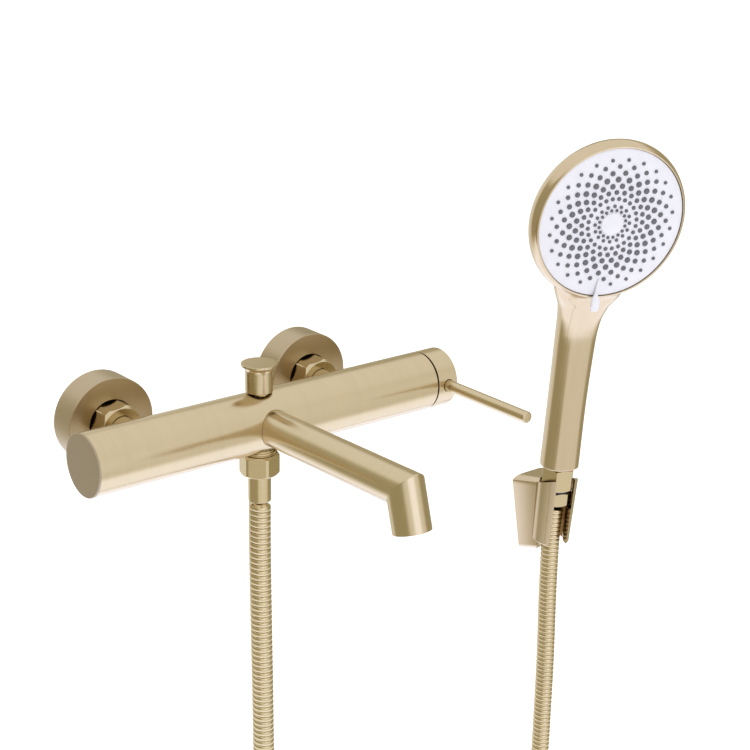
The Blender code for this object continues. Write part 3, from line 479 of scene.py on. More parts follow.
def make_handle():
    r, wall = BODY_R, 0.0011
    cap = lathe("cap_shell", [
        (0, CAP_RIGHT), (r, CAP_RIGHT, 0.0005), (r, CAP_LEFT, 0.0003),
        (r - wall, CAP_LEFT), (r - wall, CAP_RIGHT - 0.0022),
        (0.0072, CAP_RIGHT - 0.0022), (0.0072, 0.1342), (0.0036, 0.1342),
        (0.0036, 0.1416), (0, 0.1416)], SATIN, 192, (0, AXIS_Y, 0), (1, 0, 0), flat=False)
    drill = lathe("lever_hole", [(0, 0.03), (LEVER_R + 0.0004, 0.03),
                                 (LEVER_R + 0.0004, 0.0100), (0, 0.0100)], SATIN, 64,
                  (LEVER_X, AXIS_Y, 0), (0, -1, 0), flat=False)
    grub = lathe("grub_hole", [(0, 0.0240), (0.0017, 0.0240), (0.0017, 0.0010),
                               (0, 0.0010)], SATIN, 32, (0.1362, AXIS_Y, 0),
                 (0, 0, -1), flat=False)
    carve(cap, ("DIFFERENCE", drill), ("DIFFERENCE", grub))
    smooth(cap.data, 30.0)
    radial_normals(cap, r)
    finish_piece(cap, "handle", "satin_gold", "handle_cap")
    lever = lathe("lever_rod", [
        (0, 0.0), (LEVER_R, 0.0, 0.0009), (LEVER_R, 0.0803, 0.0004),
        (LEVER_R - 0.0009, 0.0806), (LEVER_R - 0.0009, 0.0862), (0, 0.0862)],
        SATIN, 64, (LEVER_X, LEVER_TIP_Y, 0), (0, 1, 0))
    finish_piece(lever, "handle", "satin_gold", "pin_lever")


def tube_rings(path, segs):
    """Rings for a round tube with mitred corners; path is (point, radius)."""
    rings, spots = [], [Vector(p) for p, _ in path]
    for i, (p, r) in enumerate(path):
        p = Vector(p)
        others = [q for q in reversed(spots[:i]) if (q - p).length > 1e-7]
        before = (p - others[0]).normalized() if others else None
        others = [q for q in spots[i + 1:] if (q - p).length > 1e-7]
        after = (others[0] - p).normalized() if others else before
        before = before or after
        plane = (before + after).normalized()
        side = Vector((1, 0, 0))
        side = (side - before * side.dot(before)).normalized()
        up = before.cross(side)
        ring = []
        for k in range(segs):
            a = math.tau * k / segs
            q = p + side * (r * math.cos(a)) + up * (r * math.sin(a))
            ring.append(q + before * ((p - q).dot(plane) / before.dot(plane)))
        rings.append(ring)
    return rings


def strip_faces(rows, segs, closed):
    faces = []
    for i in range(rows - 1 + (1 if closed else 0)):
        a, b = i * segs, ((i + 1) % rows) * segs
        for k in range(segs):
            m = (k + 1) % segs
            faces.append((a + k, a + m, b + m, b + k))
    return faces


def make_spout():
    segs = 128
    root = Vector((0, AXIS_Y, 0))
    way, down = (SPOUT_ELBOW - root).normalized(), (SPOUT_TIP - SPOUT_ELBOW).normalized()
    # the local frame has its Z along the long run, so the brushing rings it
    turn = Vector((0, 0, 1)).rotation_difference(way).to_matrix().to_4x4()
    local = Matrix.Translation(root) @ turn
    outer = tube_rings([(root + way * 0.0121, SPOUT_R), (SPOUT_ELBOW, SPOUT_R),
                        (SPOUT_TIP - down * 0.0003, SPOUT_R),
                        (SPOUT_TIP - down * 0.0001, SPOUT_R - 0.00007),
                        (SPOUT_TIP, SPOUT_R - 0.00025)], segs)
    inner = tube_rings([(root + way * 0.0121, 0.0080), (SPOUT_ELBOW, 0.0080),
                        (SPOUT_TIP - down * 0.0120, 0.0080),
                        (SPOUT_TIP - down * 0.0120, 0.0098),
                        (SPOUT_TIP - down * 0.0002, 0.0098), (SPOUT_TIP, 0.0100)], segs)
    rings = outer + inner[::-1]
    back = local.inverted()
    verts = [back @ v for ring in rings for v in ring]
    ob = mesh_object("spout_tube", verts, strip_faces(len(rings), segs, True), SATIN, 0)
    ob.matrix_world = local
    bm = bmesh.new()
    bm.from_mesh(ob.data)
    bm.verts.ensure_lookup_table()
    elbow = {bm.verts[segs + k] for k in range(segs)}
    edges = [e for e in bm.edges if e.verts[0] in elbow and e.verts[1] in elbow]
    bmesh.ops.bevel(bm, geom=edges, offset=0.0006, segments=4, profile=0.5,
                    affect="EDGES")
    bm.to_mesh(ob.data)
    bm.free()
    smooth(ob.data, 32.0)
    weighted(ob)
    finish_piece(ob, "mixer", "satin_gold", "spout")


def make_knob():
    top = 0.0380
    dish = [(0, top + 0.00005), (0.0060, top + 0.00003), (0.0100, top - 0.00005)]
    flare = curved([(0.0109, top - 0.0016), (0.0103, top - 0.0020), (0.0094, top - 0.0028),
                    (0.0088, top - 0.0039), (0.0086, top - 0.0055)], 0.0003)
    profile = dish + [(0.01115, top - 0.0001, 0.0003), (0.01115, top - 0.0014, 0.0002)]
    profile += flare + [(0.0086, 0.0199, 0.0004), (0.0073, 0.0199), (0.0073, 0.0300),
                        (0.0024, 0.0300), (0.0024, 0.0338), (0, 0.0338)]
    knob = lathe("knob_turned", profile, SATIN, 128, (0, AXIS_Y, 0))
    finish_piece(knob, "diverter", "satin_gold", "diverter_knob")


def make_outlet():
    base = (0, AXIS_Y, 0)
    pitch, thread = 0.00165, []
    for k in range(4):
        h = -0.0158 - k * pitch
        thread += [(0.0095, h), (0.0095, h - pitch * 0.25), (THREAD_R, h - pitch * 0.58, 0.00012),
                   (THREAD_R, h - pitch * 0.72, 0.00012)]
    nipple = lathe("nipple_thread", [
        (0.0098, -0.0138), (0.0098, -0.0156), *thread, (0.0098, -0.0232),
        (0.0098, -0.0300), (0.0066, -0.0300), (0.0066, -0.0138)], HOSE_GOLD, 96, base,
        ring=True, sharp=50.0)
    finish_piece(nipple, "mixer", "polished_gold", "outlet_nipple")
    nut = hexagon("hose_hexagon", HOSE_NUT_AF, (0, AXIS_Y, -0.0205), (0, AXIS_Y, -0.0344),
                  0.0107, HOSE_GOLD, 12.0, 0.0008, HOSE_NUT_CORNER)
    finish_piece(nut, "mixer", "polished_gold", "hose_nut")
    sleeve = lathe("hose_sleeve", [
        (0.0098, -0.0321), (0.0104, -0.0333), (0.0104, -0.0343), (0.0072, -0.0343),
        (0.0072, -0.0524, 0.0003), (0.0045, -0.0524), (0.0045, -0.0321)], HOSE_GOLD, 96,
        base, ring=True)
    finish_piece(sleeve, "mixer", "hose_gold", "hose_ferrule")
    return [nut, sleeve]


# ---------------------------------------------------------------------------
# hose

def smooth_path(points, step):
    """Evenly spaced points along a centripetal Catmull-Rom curve."""
    pts = [Vector(p) for p in points]
    pts = [pts[0] * 2 - pts[1]] + pts + [pts[-1] * 2 - pts[-2]]
    dense = []
    for i in range(1, len(pts) - 2):
        p0, p1, p2, p3 = pts[i - 1:i + 3]
        t0 = 0.0
        t1 = t0 + (p1 - p0).length ** 0.5
        t2 = t1 + (p2 - p1).length ** 0.5
        t3 = t2 + (p3 - p2).length ** 0.5
        for k in range(60):
            t = t1 + (t2 - t1) * k / 60
            a1 = p0 * ((t1 - t) / (t1 - t0)) + p1 * ((t - t0) / (t1 - t0))
            a2 = p1 * ((t2 - t) / (t2 - t1)) + p2 * ((t - t1) / (t2 - t1))
            a3 = p2 * ((t3 - t) / (t3 - t2)) + p3 * ((t - t2) / (t3 - t2))
            b1 = a1 * ((t2 - t) / (t2 - t0)) + a2 * ((t - t0) / (t2 - t0))
            b2 = a2 * ((t3 - t) / (t3 - t1)) + a3 * ((t - t1) / (t3 - t1))
            dense.append(b1 * ((t2 - t) / (t2 - t1)) + b2 * ((t - t1) / (t2 - t1)))
    dense.append(pts[-2])
    total = sum((b - a).length for a, b in zip(dense, dense[1:]))
    count = max(2, round(total / step))
    out, want, run = [dense[0]], total / count, 0.0
    for a, b in zip(dense, dense[1:]):
        seg = (b - a).length
        while run + seg >= want * len(out) and len(out) < count:
            out.append(a.lerp(b, (want * len(out) - run) / seg))
        run += seg
    out.append(dense[-1])
    return out, total


# (share of a turn, height over the hose's mean surface) across one strip
STRIP = ((0.00, -0.00085), (0.055, -0.00085), (0.085, -0.00015), (0.20, 0.00000),
         (0.50, 0.00008), (0.80, 0.00000), (0.915, -0.00015), (0.945, -0.00085))


def make_hose():
    """Interlocked spiral strip: the rows of the mesh follow the helix."""
    path, total = smooth_path(HOSE_ROUTE, 0.0010)
    frames, side = [], Vector((1, 0, 0))
    for i, p in enumerate(path):
        way = (path[min(i + 1, len(path) - 1)] - path[max(i - 1, 0)]).normalized()
        side = (side - way * side.dot(way)).normalized()
        frames.append((p, side.copy(), way.cross(side)))
    step = total / (len(path) - 1)

    def at(s, ang, r):
        x = min(max(s / step, 0.0), len(path) - 1.0001)
        i, f = int(x), x - int(x)
        (p, u, v), (q, w, z) = frames[i], frames[i + 1]
        return p.lerp(q, f) + (u.lerp(w, f) * math.cos(ang) + v.lerp(z, f) * math.sin(ang)) * r

    segs, turns, k = 32, int(total / HOSE_PITCH) - 1, len(STRIP)
    verts, faces = [], []
    for turn in range(turns):
        for share, lift in STRIP:
            for i in range(segs):
                s = (turn + share + i / segs) * HOSE_PITCH
                verts.append(at(s, -math.tau * i / segs, HOSE_R - 0.00005 + lift))
    rows = turns * k
    for j in range(rows - 1):
        for i in range(segs - 1):
            a = j * segs + i
            faces.append((a, a + 1, a + segs + 1, a + segs))
        if j + k + 1 < rows:
            faces.append((j * segs + segs - 1, (j + k) * segs, (j + k + 1) * segs,
                          (j + 1) * segs + segs - 1))
    first = list(range(segs)) + [j * segs for j in range(k, 0, -1)]
    last_row = rows - 1 - k
    last = [(rows - 1) * segs + i for i in range(segs)]
    last += [j * segs + segs - 1 for j in range(rows - 2, last_row - 1, -1)]
    for loop, s in ((first, 0.0), (last, total)):
        hub = len(verts)
        verts.append(at(s, 0, 0))
        faces += [(loop[i], loop[(i + 1) % len(loop)], hub) for i in range(len(loop))]
    hose = mesh_object("hose_spiral", verts, faces, HOSE_GOLD, 0)
    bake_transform(hose)
    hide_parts("shower_hose")


# ---------------------------------------------------------------------------
# hand shower, in its own frame: -Y forward, +Z up the handle

def seat_frame(front):
    front = (front - HAND_UP * front.dot(HAND_UP)).normalized()
    side = (-front).cross(HAND_UP)
    rot = Matrix((side, -front, HAND_UP)).transposed()
    return Matrix.Translation(HAND_BASE) @ rot.to_4x4()


HAND = seat_frame(HAND_FRONT)
FACE_C = Vector((0, -FACE_OUT, FACE_UP))
FACE_N = Vector((0, -math.cos(FACE_TILT), -math.sin(FACE_TILT)))
FACE = HAND @ Matrix.Translation(FACE_C) @ Matrix((
    Vector((1, 0, 0)), FACE_N.cross(Vector((1, 0, 0))), FACE_N)).transposed().to_4x4()


def face_lathe(name, profile, mat, segs=160, **more):
    """Turned about the face axis; heights are measured out of the face."""
    ob = lathe(name, profile, mat, segs, **more)
    ob.matrix_world = FACE
    return ob


# (height up the handle, forward offset, half width, half depth)
HANDLE_SECTIONS = (
    (0.0000, 0.0000, 0.0148, 0.0148), (0.0250, 0.0000, 0.0146, 0.0146),
    (0.0500, 0.0000, 0.0145, 0.0145), (0.0750, 0.0005, 0.0147, 0.0145),
    (0.0950, 0.0011, 0.0151, 0.0146), (0.1100, 0.0019, 0.0155, 0.0148),
    (0.1230, 0.0040, 0.0167, 0.0152), (0.1340, 0.0079, 0.0196, 0.0158),
    (0.1430, 0.0125, 0.0248, 0.0160), (0.1520, 0.0149, 0.0288, 0.0155),
    (0.1620, 0.0168, 0.0322, 0.0146), (0.1720, 0.0180, 0.0330, 0.0134),
    (0.1850, 0.0190, 0.0290, 0.0108), (0.1980, 0.0200, 0.0200, 0.0075))
HANDLE_FLAT = 0.30


def section_at(h):
    """Catmull-Rom between the handle's sections."""
    rows = HANDLE_SECTIONS
    i = max(k for k in range(len(rows) - 1) if rows[k][0] <= h + 1e-9)
    t = (h - rows[i][0]) / (rows[i + 1][0] - rows[i][0])
    quad = [rows[min(max(j, 0), len(rows) - 1)] for j in range(i - 1, i + 3)]
    out = []
    for c in (1, 2, 3):
        p0, p1, p2, p3 = (q[c] for q in quad)
        out.append(0.5 * (2 * p1 + (p2 - p0) * t + (2 * p0 - 5 * p1 + 4 * p2 - p3) * t * t
                          + (3 * p1 - p0 - 3 * p2 + p3) * t ** 3))
    return out


def handle_ring(h, segs, shrink=0.0):
    fwd, a, b = section_at(h)
    ring = []
    for k in range(segs):
        t = math.tau * k / segs
        x, y = math.cos(t), math.sin(t)
        front = max(0.0, -y)
        ring.append(Vector(((a - shrink) * x * (1.0 + HANDLE_FLAT * 0.10 * front ** 2),
                            (b - shrink) * y * (1.0 - HANDLE_FLAT * 0.35 * front ** 4) - fwd,
                            h)))
    return ring


def relax(mesh, seeds, reach, rounds, keep):
    """Smooth the crease between two joined forms, within reach of it."""
    tree = KDTree(len(seeds))
    for i, s in enumerate(seeds):
        tree.insert(s, i)
    tree.balance()
    bm = bmesh.new()
    bm.from_mesh(mesh)
    share = {}
    for v in bm.verts:
        d = tree.find(v.co)[2]
        if d < reach and not keep(v.co):
            t = 1 - d / reach
            share[v] = t * t * (3 - 2 * t)
    for _ in range(rounds):
        moved = {}
        for v, w in share.items():
            near = [e.other_vert(v).co for e in v.link_edges]
            mean = sum(near, Vector()) / len(near)
            moved[v] = v.co.lerp(mean, 0.6 * w)
        for v, co in moved.items():
            v.co = co
    bm.to_mesh(mesh)
    bm.free()


def make_shell():
    segs, verts, step = 144, [], 0.0012
    rows = [handle_ring(0.0, segs, 0.0006)]
    for k in range(1, 4):                       # rounded lower edge
        a = math.pi / 2 * k / 3
        ring = handle_ring(0.0, segs, 0.0006 * (1 - math.sin(a)))
        rows.append([Vector((v.x, v.y, 0.0006 * (1 - math.cos(a)))) for v in ring])
    count = int((0.1976 - 0.0012) / step)
    rows += [handle_ring(0.0012 + step * k, segs) for k in range(count + 1)]
    for row in rows:
        verts += row
    faces = strip_faces(len(rows), segs, False)
    faces.append(tuple(range(segs - 1, -1, -1)))
    faces.append(tuple(range((len(rows) - 1) * segs, len(rows) * segs)))
    shell = mesh_object("handset_body", verts, faces, HAND_GOLD, 40.0)
    shell.matrix_world = HAND
    back = curved([
        (RIM_R, -0.0008), (0.0578, -0.0017), (0.0583, -0.0030), (0.0591, -0.0055),
        (0.0593, -0.0080), (0.0588, -0.0105), (0.0577, -0.0130), (0.0560, -0.0152),
        (0.0535, -0.0172), (0.0490, -0.0190), (0.0400, -0.0207), (0.0260, -0.0218),
        (0.0130, -0.0222), (0.0006, -0.0224)], 0.0012)
    dome = face_lathe("dome", [
        (0, -0.0010), (0.0500, -0.0010), (0.0553, -0.0010), (0.0553, 0.0),
        (0.0564, -0.0001, 0.0002), *back, (0, -0.0224)], HAND_GOLD, 240, flat=False)
    known = KDTree(len(shell.data.vertices) + len(dome.data.vertices))
    to_local = HAND.inverted() @ FACE
    spots = [v.co.copy() for v in shell.data.vertices]
    spots += [to_local @ v.co for v in dome.data.vertices]
    for i, co in enumerate(spots):
        known.insert(co, i)
    known.balance()
    carve(shell, ("UNION", dome))
    seeds = [v.co.copy() for v in shell.data.vertices if known.find(v.co)[2] > 1e-6]
    normal = FACE_N

    def keep(co):
        out = (co - FACE_C).dot(normal)
        return out > -0.0016

    relax(shell.data, seeds, 0.0085, 60, keep)
    hollow = face_lathe("hollow", [
        (0, 0.0030), (0.0554, 0.0030), (0.0554, -0.0100), (0.0500, -0.0150),
        (0.0380, -0.0172), (0, -0.0186)], HAND_GOLD, 160, flat=False)
    bore = lathe("bore", [(0, 0.0200), (0.0105, 0.0200), (0.0105, -0.0040), (0, -0.0040)],
                 HAND_GOLD, 64, flat=False)
    bore.matrix_world = HAND
    carve(shell, ("DIFFERENCE", hollow), ("DIFFERENCE", bore))
    smooth(shell.data, 34.0)
    finish_piece(shell, "handset", "handset_gold", "handset_shell")


# (ring radius, nozzles, first angle in degrees from the top, nozzle diameter)
NOZZLES = ((0.0470, 24, 6.7, 0.0026), (0.0422, 24, -0.8, 0.0032), (0.0375, 24, 6.7, 0.0037),
           (0.0328, 24, -0.8, 0.0042), (0.0280, 24, 6.7, 0.0039), (0.0234, 24, -0.8, 0.0034),
           (0.0187, 24, 6.7, 0.0029), (0.0133, 16, -0.8, 0.0025), (0.0102, 16, 10.4, 0.0023))


def crown(r):
    """Front of the slightly domed face at a distance from its centre."""
    return 0.0006 - 0.0015 * (r / 0.0546) ** 2


def make_face():
    face = [(r, crown(r)) for r in (0.0030, 0.0090, 0.0180, 0.0280, 0.0370, 0.0450, 0.0510)]
    plate = face_lathe("face_plate", [
        *face, (0.0551, -0.0009, 0.0004), (0.0551, -0.0033), (0.0030, -0.0033)],
        WHITE, 192, ring=True)
    finish_piece(plate, "spray_face", "white_face", "spray_plate")
    cap = face_lathe("face_button", [
        (0, 0.00125), (0.0050, 0.00120), (0.0082, 0.00095, 0.0004), (0.0084, 0.0007),
        (0, 0.0007)], WHITE, 96)
    finish_piece(cap, "spray_face", "white_face", "centre_cap")
    segs, verts, faces = 20, [], []
    rings = ((1.00, -0.0008), (1.00, 0.0005), (0.92, 0.0008), (0.62, 0.0010), (0.0, 0.0010))
    for radius, count, first, size in NOZZLES:
        for k in range(count):
            deg = first + 360.0 * k / count
            a = math.radians(deg)
            cx, cy = radius * math.sin(a), radius * math.cos(a)
            if under_tab(cx, cy):
                continue
            base, lift = len(verts), crown(radius)
            for scale, h in rings[:-1]:
                verts += [(cx + size / 2 * scale * math.cos(math.tau * i / segs),
                           cy + size / 2 * scale * math.sin(math.tau * i / segs), lift + h)
                          for i in range(segs)]
            verts.append((cx, cy, lift + rings[-1][1]))
            faces += [tuple(base + f for f in face)
                      for face in strip_faces(len(rings) - 1, segs, False)]
            top = base + (len(rings) - 2) * segs
            faces += [(top + i, top + (i + 1) % segs, base + (len(rings) - 1) * segs)
                      for i in range(segs)]
            faces.append(tuple(base + i for i in range(segs - 1, -1, -1)))
    tips = mesh_object("nozzle_tips", verts, faces, RUBBER, 40.0)
    tips.matrix_world = FACE
    finish_piece(tips, "spray_face", "grey_rubber", "nozzle_mat")
    make_tab()


TAB_TURN = math.radians(4.5)        # the tab rests a little left of the handle
TAB_DOWN = Vector((-math.sin(TAB_TURN), -math.cos(TAB_TURN), 0.0))
TAB_SIDE = Vector((math.cos(TAB_TURN), -math.sin(TAB_TURN), 0.0))


def under_tab(x, y):
    spot = Vector((x, y, 0.0))
    return spot.dot(TAB_DOWN) > 0.0435 and abs(spot.dot(TAB_SIDE)) < 0.0030


def make_tab():
    """Selector: a narrow ridge on the face that widens past the rim."""
    # (distance from the centre, half width, back height, front height)
    stations = ((0.0420, 0.0005, -0.0004, 0.0004), (0.0440, 0.0009, -0.0004, 0.0008),
                (0.0480, 0.0011, -0.0004, 0.0013), (0.0515, 0.0012, -0.0004, 0.0018),
                (0.0543, 0.0014, -0.0003, 0.0022), (0.0554, 0.0024, 0.0004, 0.0027),
                (0.0565, 0.0031, 0.0008, 0.0034), (0.0585, 0.0034, 0.0011, 0.0042),
                (0.0615, 0.0034, 0.0016, 0.0048), (0.0638, 0.0032, 0.0019, 0.0049),
                (0.0652, 0.0027, 0.0022, 0.0047), (0.0659, 0.0018, 0.0027, 0.0042))
    segs, rings = 24, []
    for d, w, low, high in stations:
        mid, half = (low + high) / 2, (high - low) / 2
        ring = []
        for k in range(segs):
            a = math.tau * k / segs
            c, s = math.cos(a), math.sin(a)
            x = w * math.copysign(abs(c) ** 0.6, c)
            z = mid + half * math.copysign(abs(s) ** 0.7, s)
            ring.append(TAB_DOWN * d + TAB_SIDE * x + Vector((0, 0, z)))
        rings.append(ring)
    verts = [v for ring in rings for v in ring]
    faces = strip_faces(len(rings), segs, False)
    faces.append(tuple(range(segs - 1, -1, -1)))
    faces.append(tuple(range((len(rings) - 1) * segs, len(rings) * segs)))
    tab = mesh_object("selector_ridge", verts, faces, WHITE, 60.0)
    tab.matrix_world = FACE
    mod = tab.modifiers.new("rounder", "SUBSURF")
    mod.levels = mod.render_levels = 1
    finish_piece(tab, "spray_face", "white_face", "selector_tab")


def make_hose_end():
    def at(s):
        return HAND @ Vector((0, 0, s))

    nut = hexagon("swivel_hexagon", 0.0225, at(-0.0010), at(-0.0190), 0.0101, HOSE_GOLD,
                  20.0, 0.0008)
    finish_piece(nut, "handset", "polished_gold", "swivel_nut")
    ferrule = hexagon("ferrule_hexagon", 0.0195, at(-0.0212), at(-0.0320), 0.0050,
                      HOSE_GOLD, 20.0, 0.0006)
    finish_piece(ferrule, "hose_end", "polished_gold", "hose_end_ferrule")


# ---------------------------------------------------------------------------
# wall holder

WEB_BACK = ((0.0086, -0.1908), (0.0183, -0.1345))       # (half width, height) at the wall
WEB_FRONT = ((0.0082, -0.1850), (0.0098, -0.1328))      # and where it meets the cup
WEB_RUN, WEB_RISE = 0.0200, 0.0038
LIP_AT, LIP_SLOPE = -0.0136, 0.45                       # the cup's lip rises forwards
CUP_TOP_R, CUP_LOW_R = 0.0158, 0.0143
CUP_EDGE = 0.0007       # chamfer round the cup's lower end
CUP_END = HOLDER_BOTTOM - 0.0017
SLOT_HALF = 0.0076


def web_rings(rows, across, turns):
    """Level rings from the bottom to the top, rounded over at both ends."""
    ends = [(WEB_RISE * math.sin(math.pi / 2 * k / turns),
             1 - 0.6 * (1 - math.cos(math.pi / 2 * k / turns))) for k in range(turns, 0, -1)]
    levels = [(0.0, -over, narrow) for over, narrow in ends]
    levels += [(k / rows, 0.0, 1.0) for k in range(rows + 1)]
    levels += [(1.0, over, narrow) for over, narrow in reversed(ends)]
    rings = []
    for t, over, narrow in levels:
        side = []
        for k in range(across + 1):
            u = k / across
            half = [b[0] * (1 - u) + f[0] * u for b, f in zip(WEB_BACK, WEB_FRONT)]
            high = [b[1] * (1 - u) + f[1] * u for b, f in zip(WEB_BACK, WEB_FRONT)]
            side.append(((half[0] * (1 - t) + half[1] * t) * narrow, -WEB_RUN * u,
                         high[0] * (1 - t) + high[1] * t + over))
        rings.append([Vector((HAND_BASE.x - x, y, z)) for x, y, z in side]
                     + [Vector((HAND_BASE.x + x, y, z)) for x, y, z in reversed(side)])
    return rings


def make_holder():
    seat = seat_frame(Vector((math.sin(HOLDER_YAW), -math.cos(HOLDER_YAW), 0)))
    local = seat.inverted()
    rings = web_rings(24, 10, 10)
    segs = len(rings[0])
    verts = [local @ v for ring in rings for v in ring]
    faces = strip_faces(len(rings), segs, False)
    faces.append(tuple(range(segs - 1, -1, -1)))
    faces.append(tuple(range((len(rings) - 1) * segs, len(rings) * segs)))
    holder = mesh_object("holder_block", verts, faces, HOLDER_GOLD)
    holder.matrix_world = seat
    cup = lathe("cup", [
        (0, HOLDER_TOP + 0.0060), (CUP_TOP_R + 0.0001, HOLDER_TOP + 0.0060),
        (CUP_TOP_R, HOLDER_TOP + 0.0002), (CUP_LOW_R, CUP_END + CUP_EDGE, 0.0006),
        (CUP_LOW_R - CUP_EDGE, CUP_END), (0, CUP_END)], HOLDER_GOLD, 150, flat=False)
    cup.matrix_world = seat
    slope = Matrix.Translation(Vector((0, 0, LIP_AT)))
    slope = slope @ Matrix.Rotation(-math.atan(LIP_SLOPE), 4, "X")
    carve(cup, ("DIFFERENCE", block("lip", 0.04, -0.04, 0.04, 0.0, 0.04, seat @ slope)))
    cone = lathe("seat_cone", [
        (0, 0.0100), (0.0139, 0.0100), (0.0137, HOLDER_TOP), (0.0133, HOLDER_LEDGE),
        (0.0118, HOLDER_LEDGE), (0.0118, -0.0340), (0.0098, -0.0360),
        (0.0098, HOLDER_BOTTOM - 0.02), (0, HOLDER_BOTTOM - 0.02)], HOLDER_GOLD, 144,
        flat=False)
    cone.matrix_world = seat
    slot = block("slot", SLOT_HALF, -0.0293, 0.0007, -0.085, 0.015, seat)
    carve(holder, ("UNION", cup), ("DIFFERENCE", cone), ("DIFFERENCE", slot))
    smooth(holder.data, 24.0)
    bevelled(holder, 0.00035, 50.0, 3)
    finish_piece(holder, "mixer", "holder_gold", "wall_holder")


def block(name, half, y0, y1, z0, z1, frame_at):
    corners = [(x, y, z) for x in (-half, half) for y in (y0, y1) for z in (z0, z1)]
    ob = mesh_object(name, corners, [(0, 1, 3, 2), (4, 6, 7, 5), (0, 4, 5, 1), (2, 3, 7, 6),
                                     (0, 2, 6, 4), (1, 5, 7, 3)], HOLDER_GOLD)
    ob.matrix_world = frame_at
    return ob


# ---------------------------------------------------------------------------
# the diverter's spring, a fixed copy of the CAD coil in stainless steel (the real one shortens as
# the knob is pulled)


def make_spring():
    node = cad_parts["diverter_spring"]
    coil = bpy.data.objects.new("spring_coil", node.data.copy())
    bpy.context.scene.collection.objects.link(coil)
    coil.matrix_world = node.matrix_world.copy()
    coil.data.materials.clear()
    coil.data.materials.append(STEEL)
    finish_piece(coil, "mixer", "stainless", "diverter_spring")
    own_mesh(coil)


# ---------------------------------------------------------------------------
# CAD nodes that stay as they are

CARRIED = {
    "end_cap_seal": BLACK, "inlet_washer_left": BLACK, "inlet_washer_right": BLACK,
    "union_left": BRASS, "union_right": BRASS, "cartridge_housing": CARTRIDGE,
    "cartridge_seal": BLACK, "fixed_disc": CERAMIC, "moving_disc": CERAMIC,
    "cartridge_rotor": CARTRIDGE, "tilt_pin": STEEL, "stem": STEEL,
    "retaining_nut": BLACK_RING, "set_screw": STEEL, "spout_washer": BLACK,
    "aerator_shell": POLISHED, "aerator_washer": BLACK, "aerator_insert": GREY,
    "diverter_rod": STEEL, "diverter_valve": BLACK, "diverter_bonnet": BRASS,
    "bonnet_seal": BLACK, "check_valve": CARTRIDGE,
    "hose_washer": BLACK, "waterway_tube": GREY, "handset_connector": BRASS,
    "flow_disc": GREY, "centre_screw": STEEL, "handset_washer": BLACK,
    "swivel_o_ring": BLACK}


def dress_carried():
    for name, mat in CARRIED.items():
        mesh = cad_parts[name].data
        mesh.materials.clear()
        mesh.materials.append(mat)


# ---------------------------------------------------------------------------
# floor and light

FLOOR_Z = -0.6745


def make_floor():
    mesh = bpy.data.meshes.new("floor")
    size = 70.0
    mesh.from_pydata([(-size, -size, 0), (size, -size, 0), (size, size, 0),
                      (-size, size, 0)], [], [(0, 1, 2, 3)])
    floor = bpy.data.objects.new("floor", mesh)
    bpy.context.scene.collection.objects.link(floor)
    floor.location = (0, 0, FLOOR_Z)
    paint = plastic("floor_paint", (0.90, 0.90, 0.90), 0.9, vary=0.01, scale=40.0)
    glow = paint.node_tree.nodes["Principled BSDF"].inputs
    glow["Emission Color"].default_value = (1.0, 1.0, 1.0, 1.0)
    glow["Emission Strength"].default_value = 0.40
    mesh.materials.append(paint)
    floor.visible_glossy = False


def window(tree, value, low, high, soft):
    """One between low and high, fading to nothing over soft on both sides."""
    ends = []
    for edge in (low, high):
        step = node(tree, "ShaderNodeMapRange", interpolation_type="SMOOTHSTEP")
        step.inputs["From Min"].default_value = edge - soft
        step.inputs["From Max"].default_value = edge + soft
        tree.links.new(value, step.inputs["Value"])
        ends.append(step.outputs["Result"])
    sub = node(tree, "ShaderNodeMath", operation="SUBTRACT")
    tree.links.new(ends[0], sub.inputs[0])
    tree.links.new(ends[1], sub.inputs[1])
    return sub.outputs[0]


def times(tree, a, b):
    made = node(tree, "ShaderNodeMath", operation="MULTIPLY")
    for k, value in enumerate((a, b)):
        if isinstance(value, (int, float)):
            made.inputs[k].default_value = value
        else:
            tree.links.new(value, made.inputs[k])
    return made.outputs[0]


def plus(tree, a, b):
    made = node(tree, "ShaderNodeMath", operation="ADD")
    for k, value in enumerate((a, b)):
        if isinstance(value, (int, float)):
            made.inputs[k].default_value = value
        else:
            tree.links.new(value, made.inputs[k])
    return made.outputs[0]


# The room is evenly bright. Each entry adds to or takes from that, and all of
# it is the same left and right of the wall's normal:
# (azimuth from, to, softness in degrees; height from, to, softness; change)
STUDIO = (
    (-20.0, 20.0, 8.0, -0.30, 0.30, 0.10, 0.50),        # softbox in front
    (50.0, 150.0, 10.0, -0.50, 0.50, 0.10, -0.50),      # black flag on the left
    (-150.0, -50.0, 10.0, -0.50, 0.50, 0.10, -0.50),    # and on the right
    (-200.0, 200.0, 5.0, -1.20, -0.60, 0.10, 0.50),     # pale floor
)
# (brightness, colour): a room with warm walls and a cool softbox
WARMTH = ((0.20, (1.00, 0.80, 0.35)), (0.50, (1.00, 0.92, 0.65)), (1.00, (1.00, 1.00, 1.00)),
          (1.50, (1.00, 1.05, 1.30)))
WARMTH_TOP = 2.0


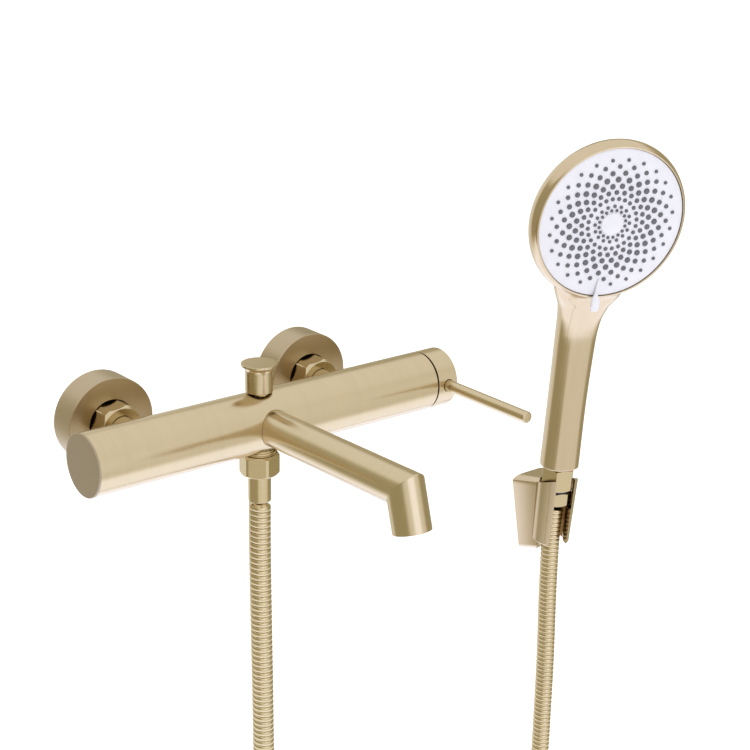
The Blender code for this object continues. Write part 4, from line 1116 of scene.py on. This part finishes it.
def make_light():
    world = bpy.data.worlds.new("studio")
    world.use_nodes = True
    bpy.context.scene.world = world
    tree = world.node_tree
    background = tree.nodes["Background"]
    coord = tree.nodes.new("ShaderNodeTexCoord")
    split = tree.nodes.new("ShaderNodeSeparateXYZ")
    tree.links.new(coord.outputs["Generated"], split.inputs[0])
    turn = node(tree, "ShaderNodeMath", operation="ARCTAN2")
    tree.links.new(times(tree, split.outputs[0], -1.0), turn.inputs[0])
    tree.links.new(times(tree, split.outputs[1], -1.0), turn.inputs[1])
    azimuth = times(tree, turn.outputs[0], 180.0 / math.pi)
    height = split.outputs[2]
    total = plus(tree, times(tree, height, 0.05), 1.0)
    for a0, a1, soft, z0, z1, zsoft, gain in STUDIO:
        patch = times(tree, window(tree, azimuth, a0, a1, soft),
                      window(tree, height, z0, z1, zsoft))
        total = plus(tree, total, times(tree, patch, gain))
    tree.links.new(total, background.inputs["Strength"])
    ramp = tree.nodes.new("ShaderNodeValToRGB")
    stops = ramp.color_ramp.elements
    while len(stops) < len(WARMTH):
        stops.new(0.5)
    for stop, (level, colour) in zip(stops, WARMTH):
        stop.position = level / WARMTH_TOP
        stop.color = (*colour, 1.0)
    tree.links.new(times(tree, total, 1.0 / WARMTH_TOP), ramp.inputs[0])
    tree.links.new(ramp.outputs[0], background.inputs["Color"])
    for name, loc, size, power in (
            ("key", (-1.2, -2.2, 2.6), 1.8, 10.0), ("fill", (2.2, -1.6, 2.2), 1.8, 4.0)):
        data = bpy.data.lights.new(name, "AREA")
        data.size = size
        data.energy = power
        lamp = bpy.data.objects.new(name, data)
        bpy.context.scene.collection.objects.link(lamp)
        lamp.location = loc
        lamp.rotation_mode = "QUATERNION"
        lamp.rotation_quaternion = (Vector((0.1, -0.05, 0.0)) - Vector(loc)).to_track_quat(
            "-Z", "Y")
        lamp.visible_camera = False
        lamp.visible_glossy = False
    bpy.context.scene.view_settings.view_transform = "Standard"


make_camera()
make_body()
make_inlet("left", -INLET_X)
make_inlet("right", INLET_X)
make_handle()
make_spout()
make_knob()
make_spring()
on_hose = make_outlet()
make_hose()
make_shell()
make_face()
make_hose_end()
make_holder()
dress_carried()
make_floor()
make_light()
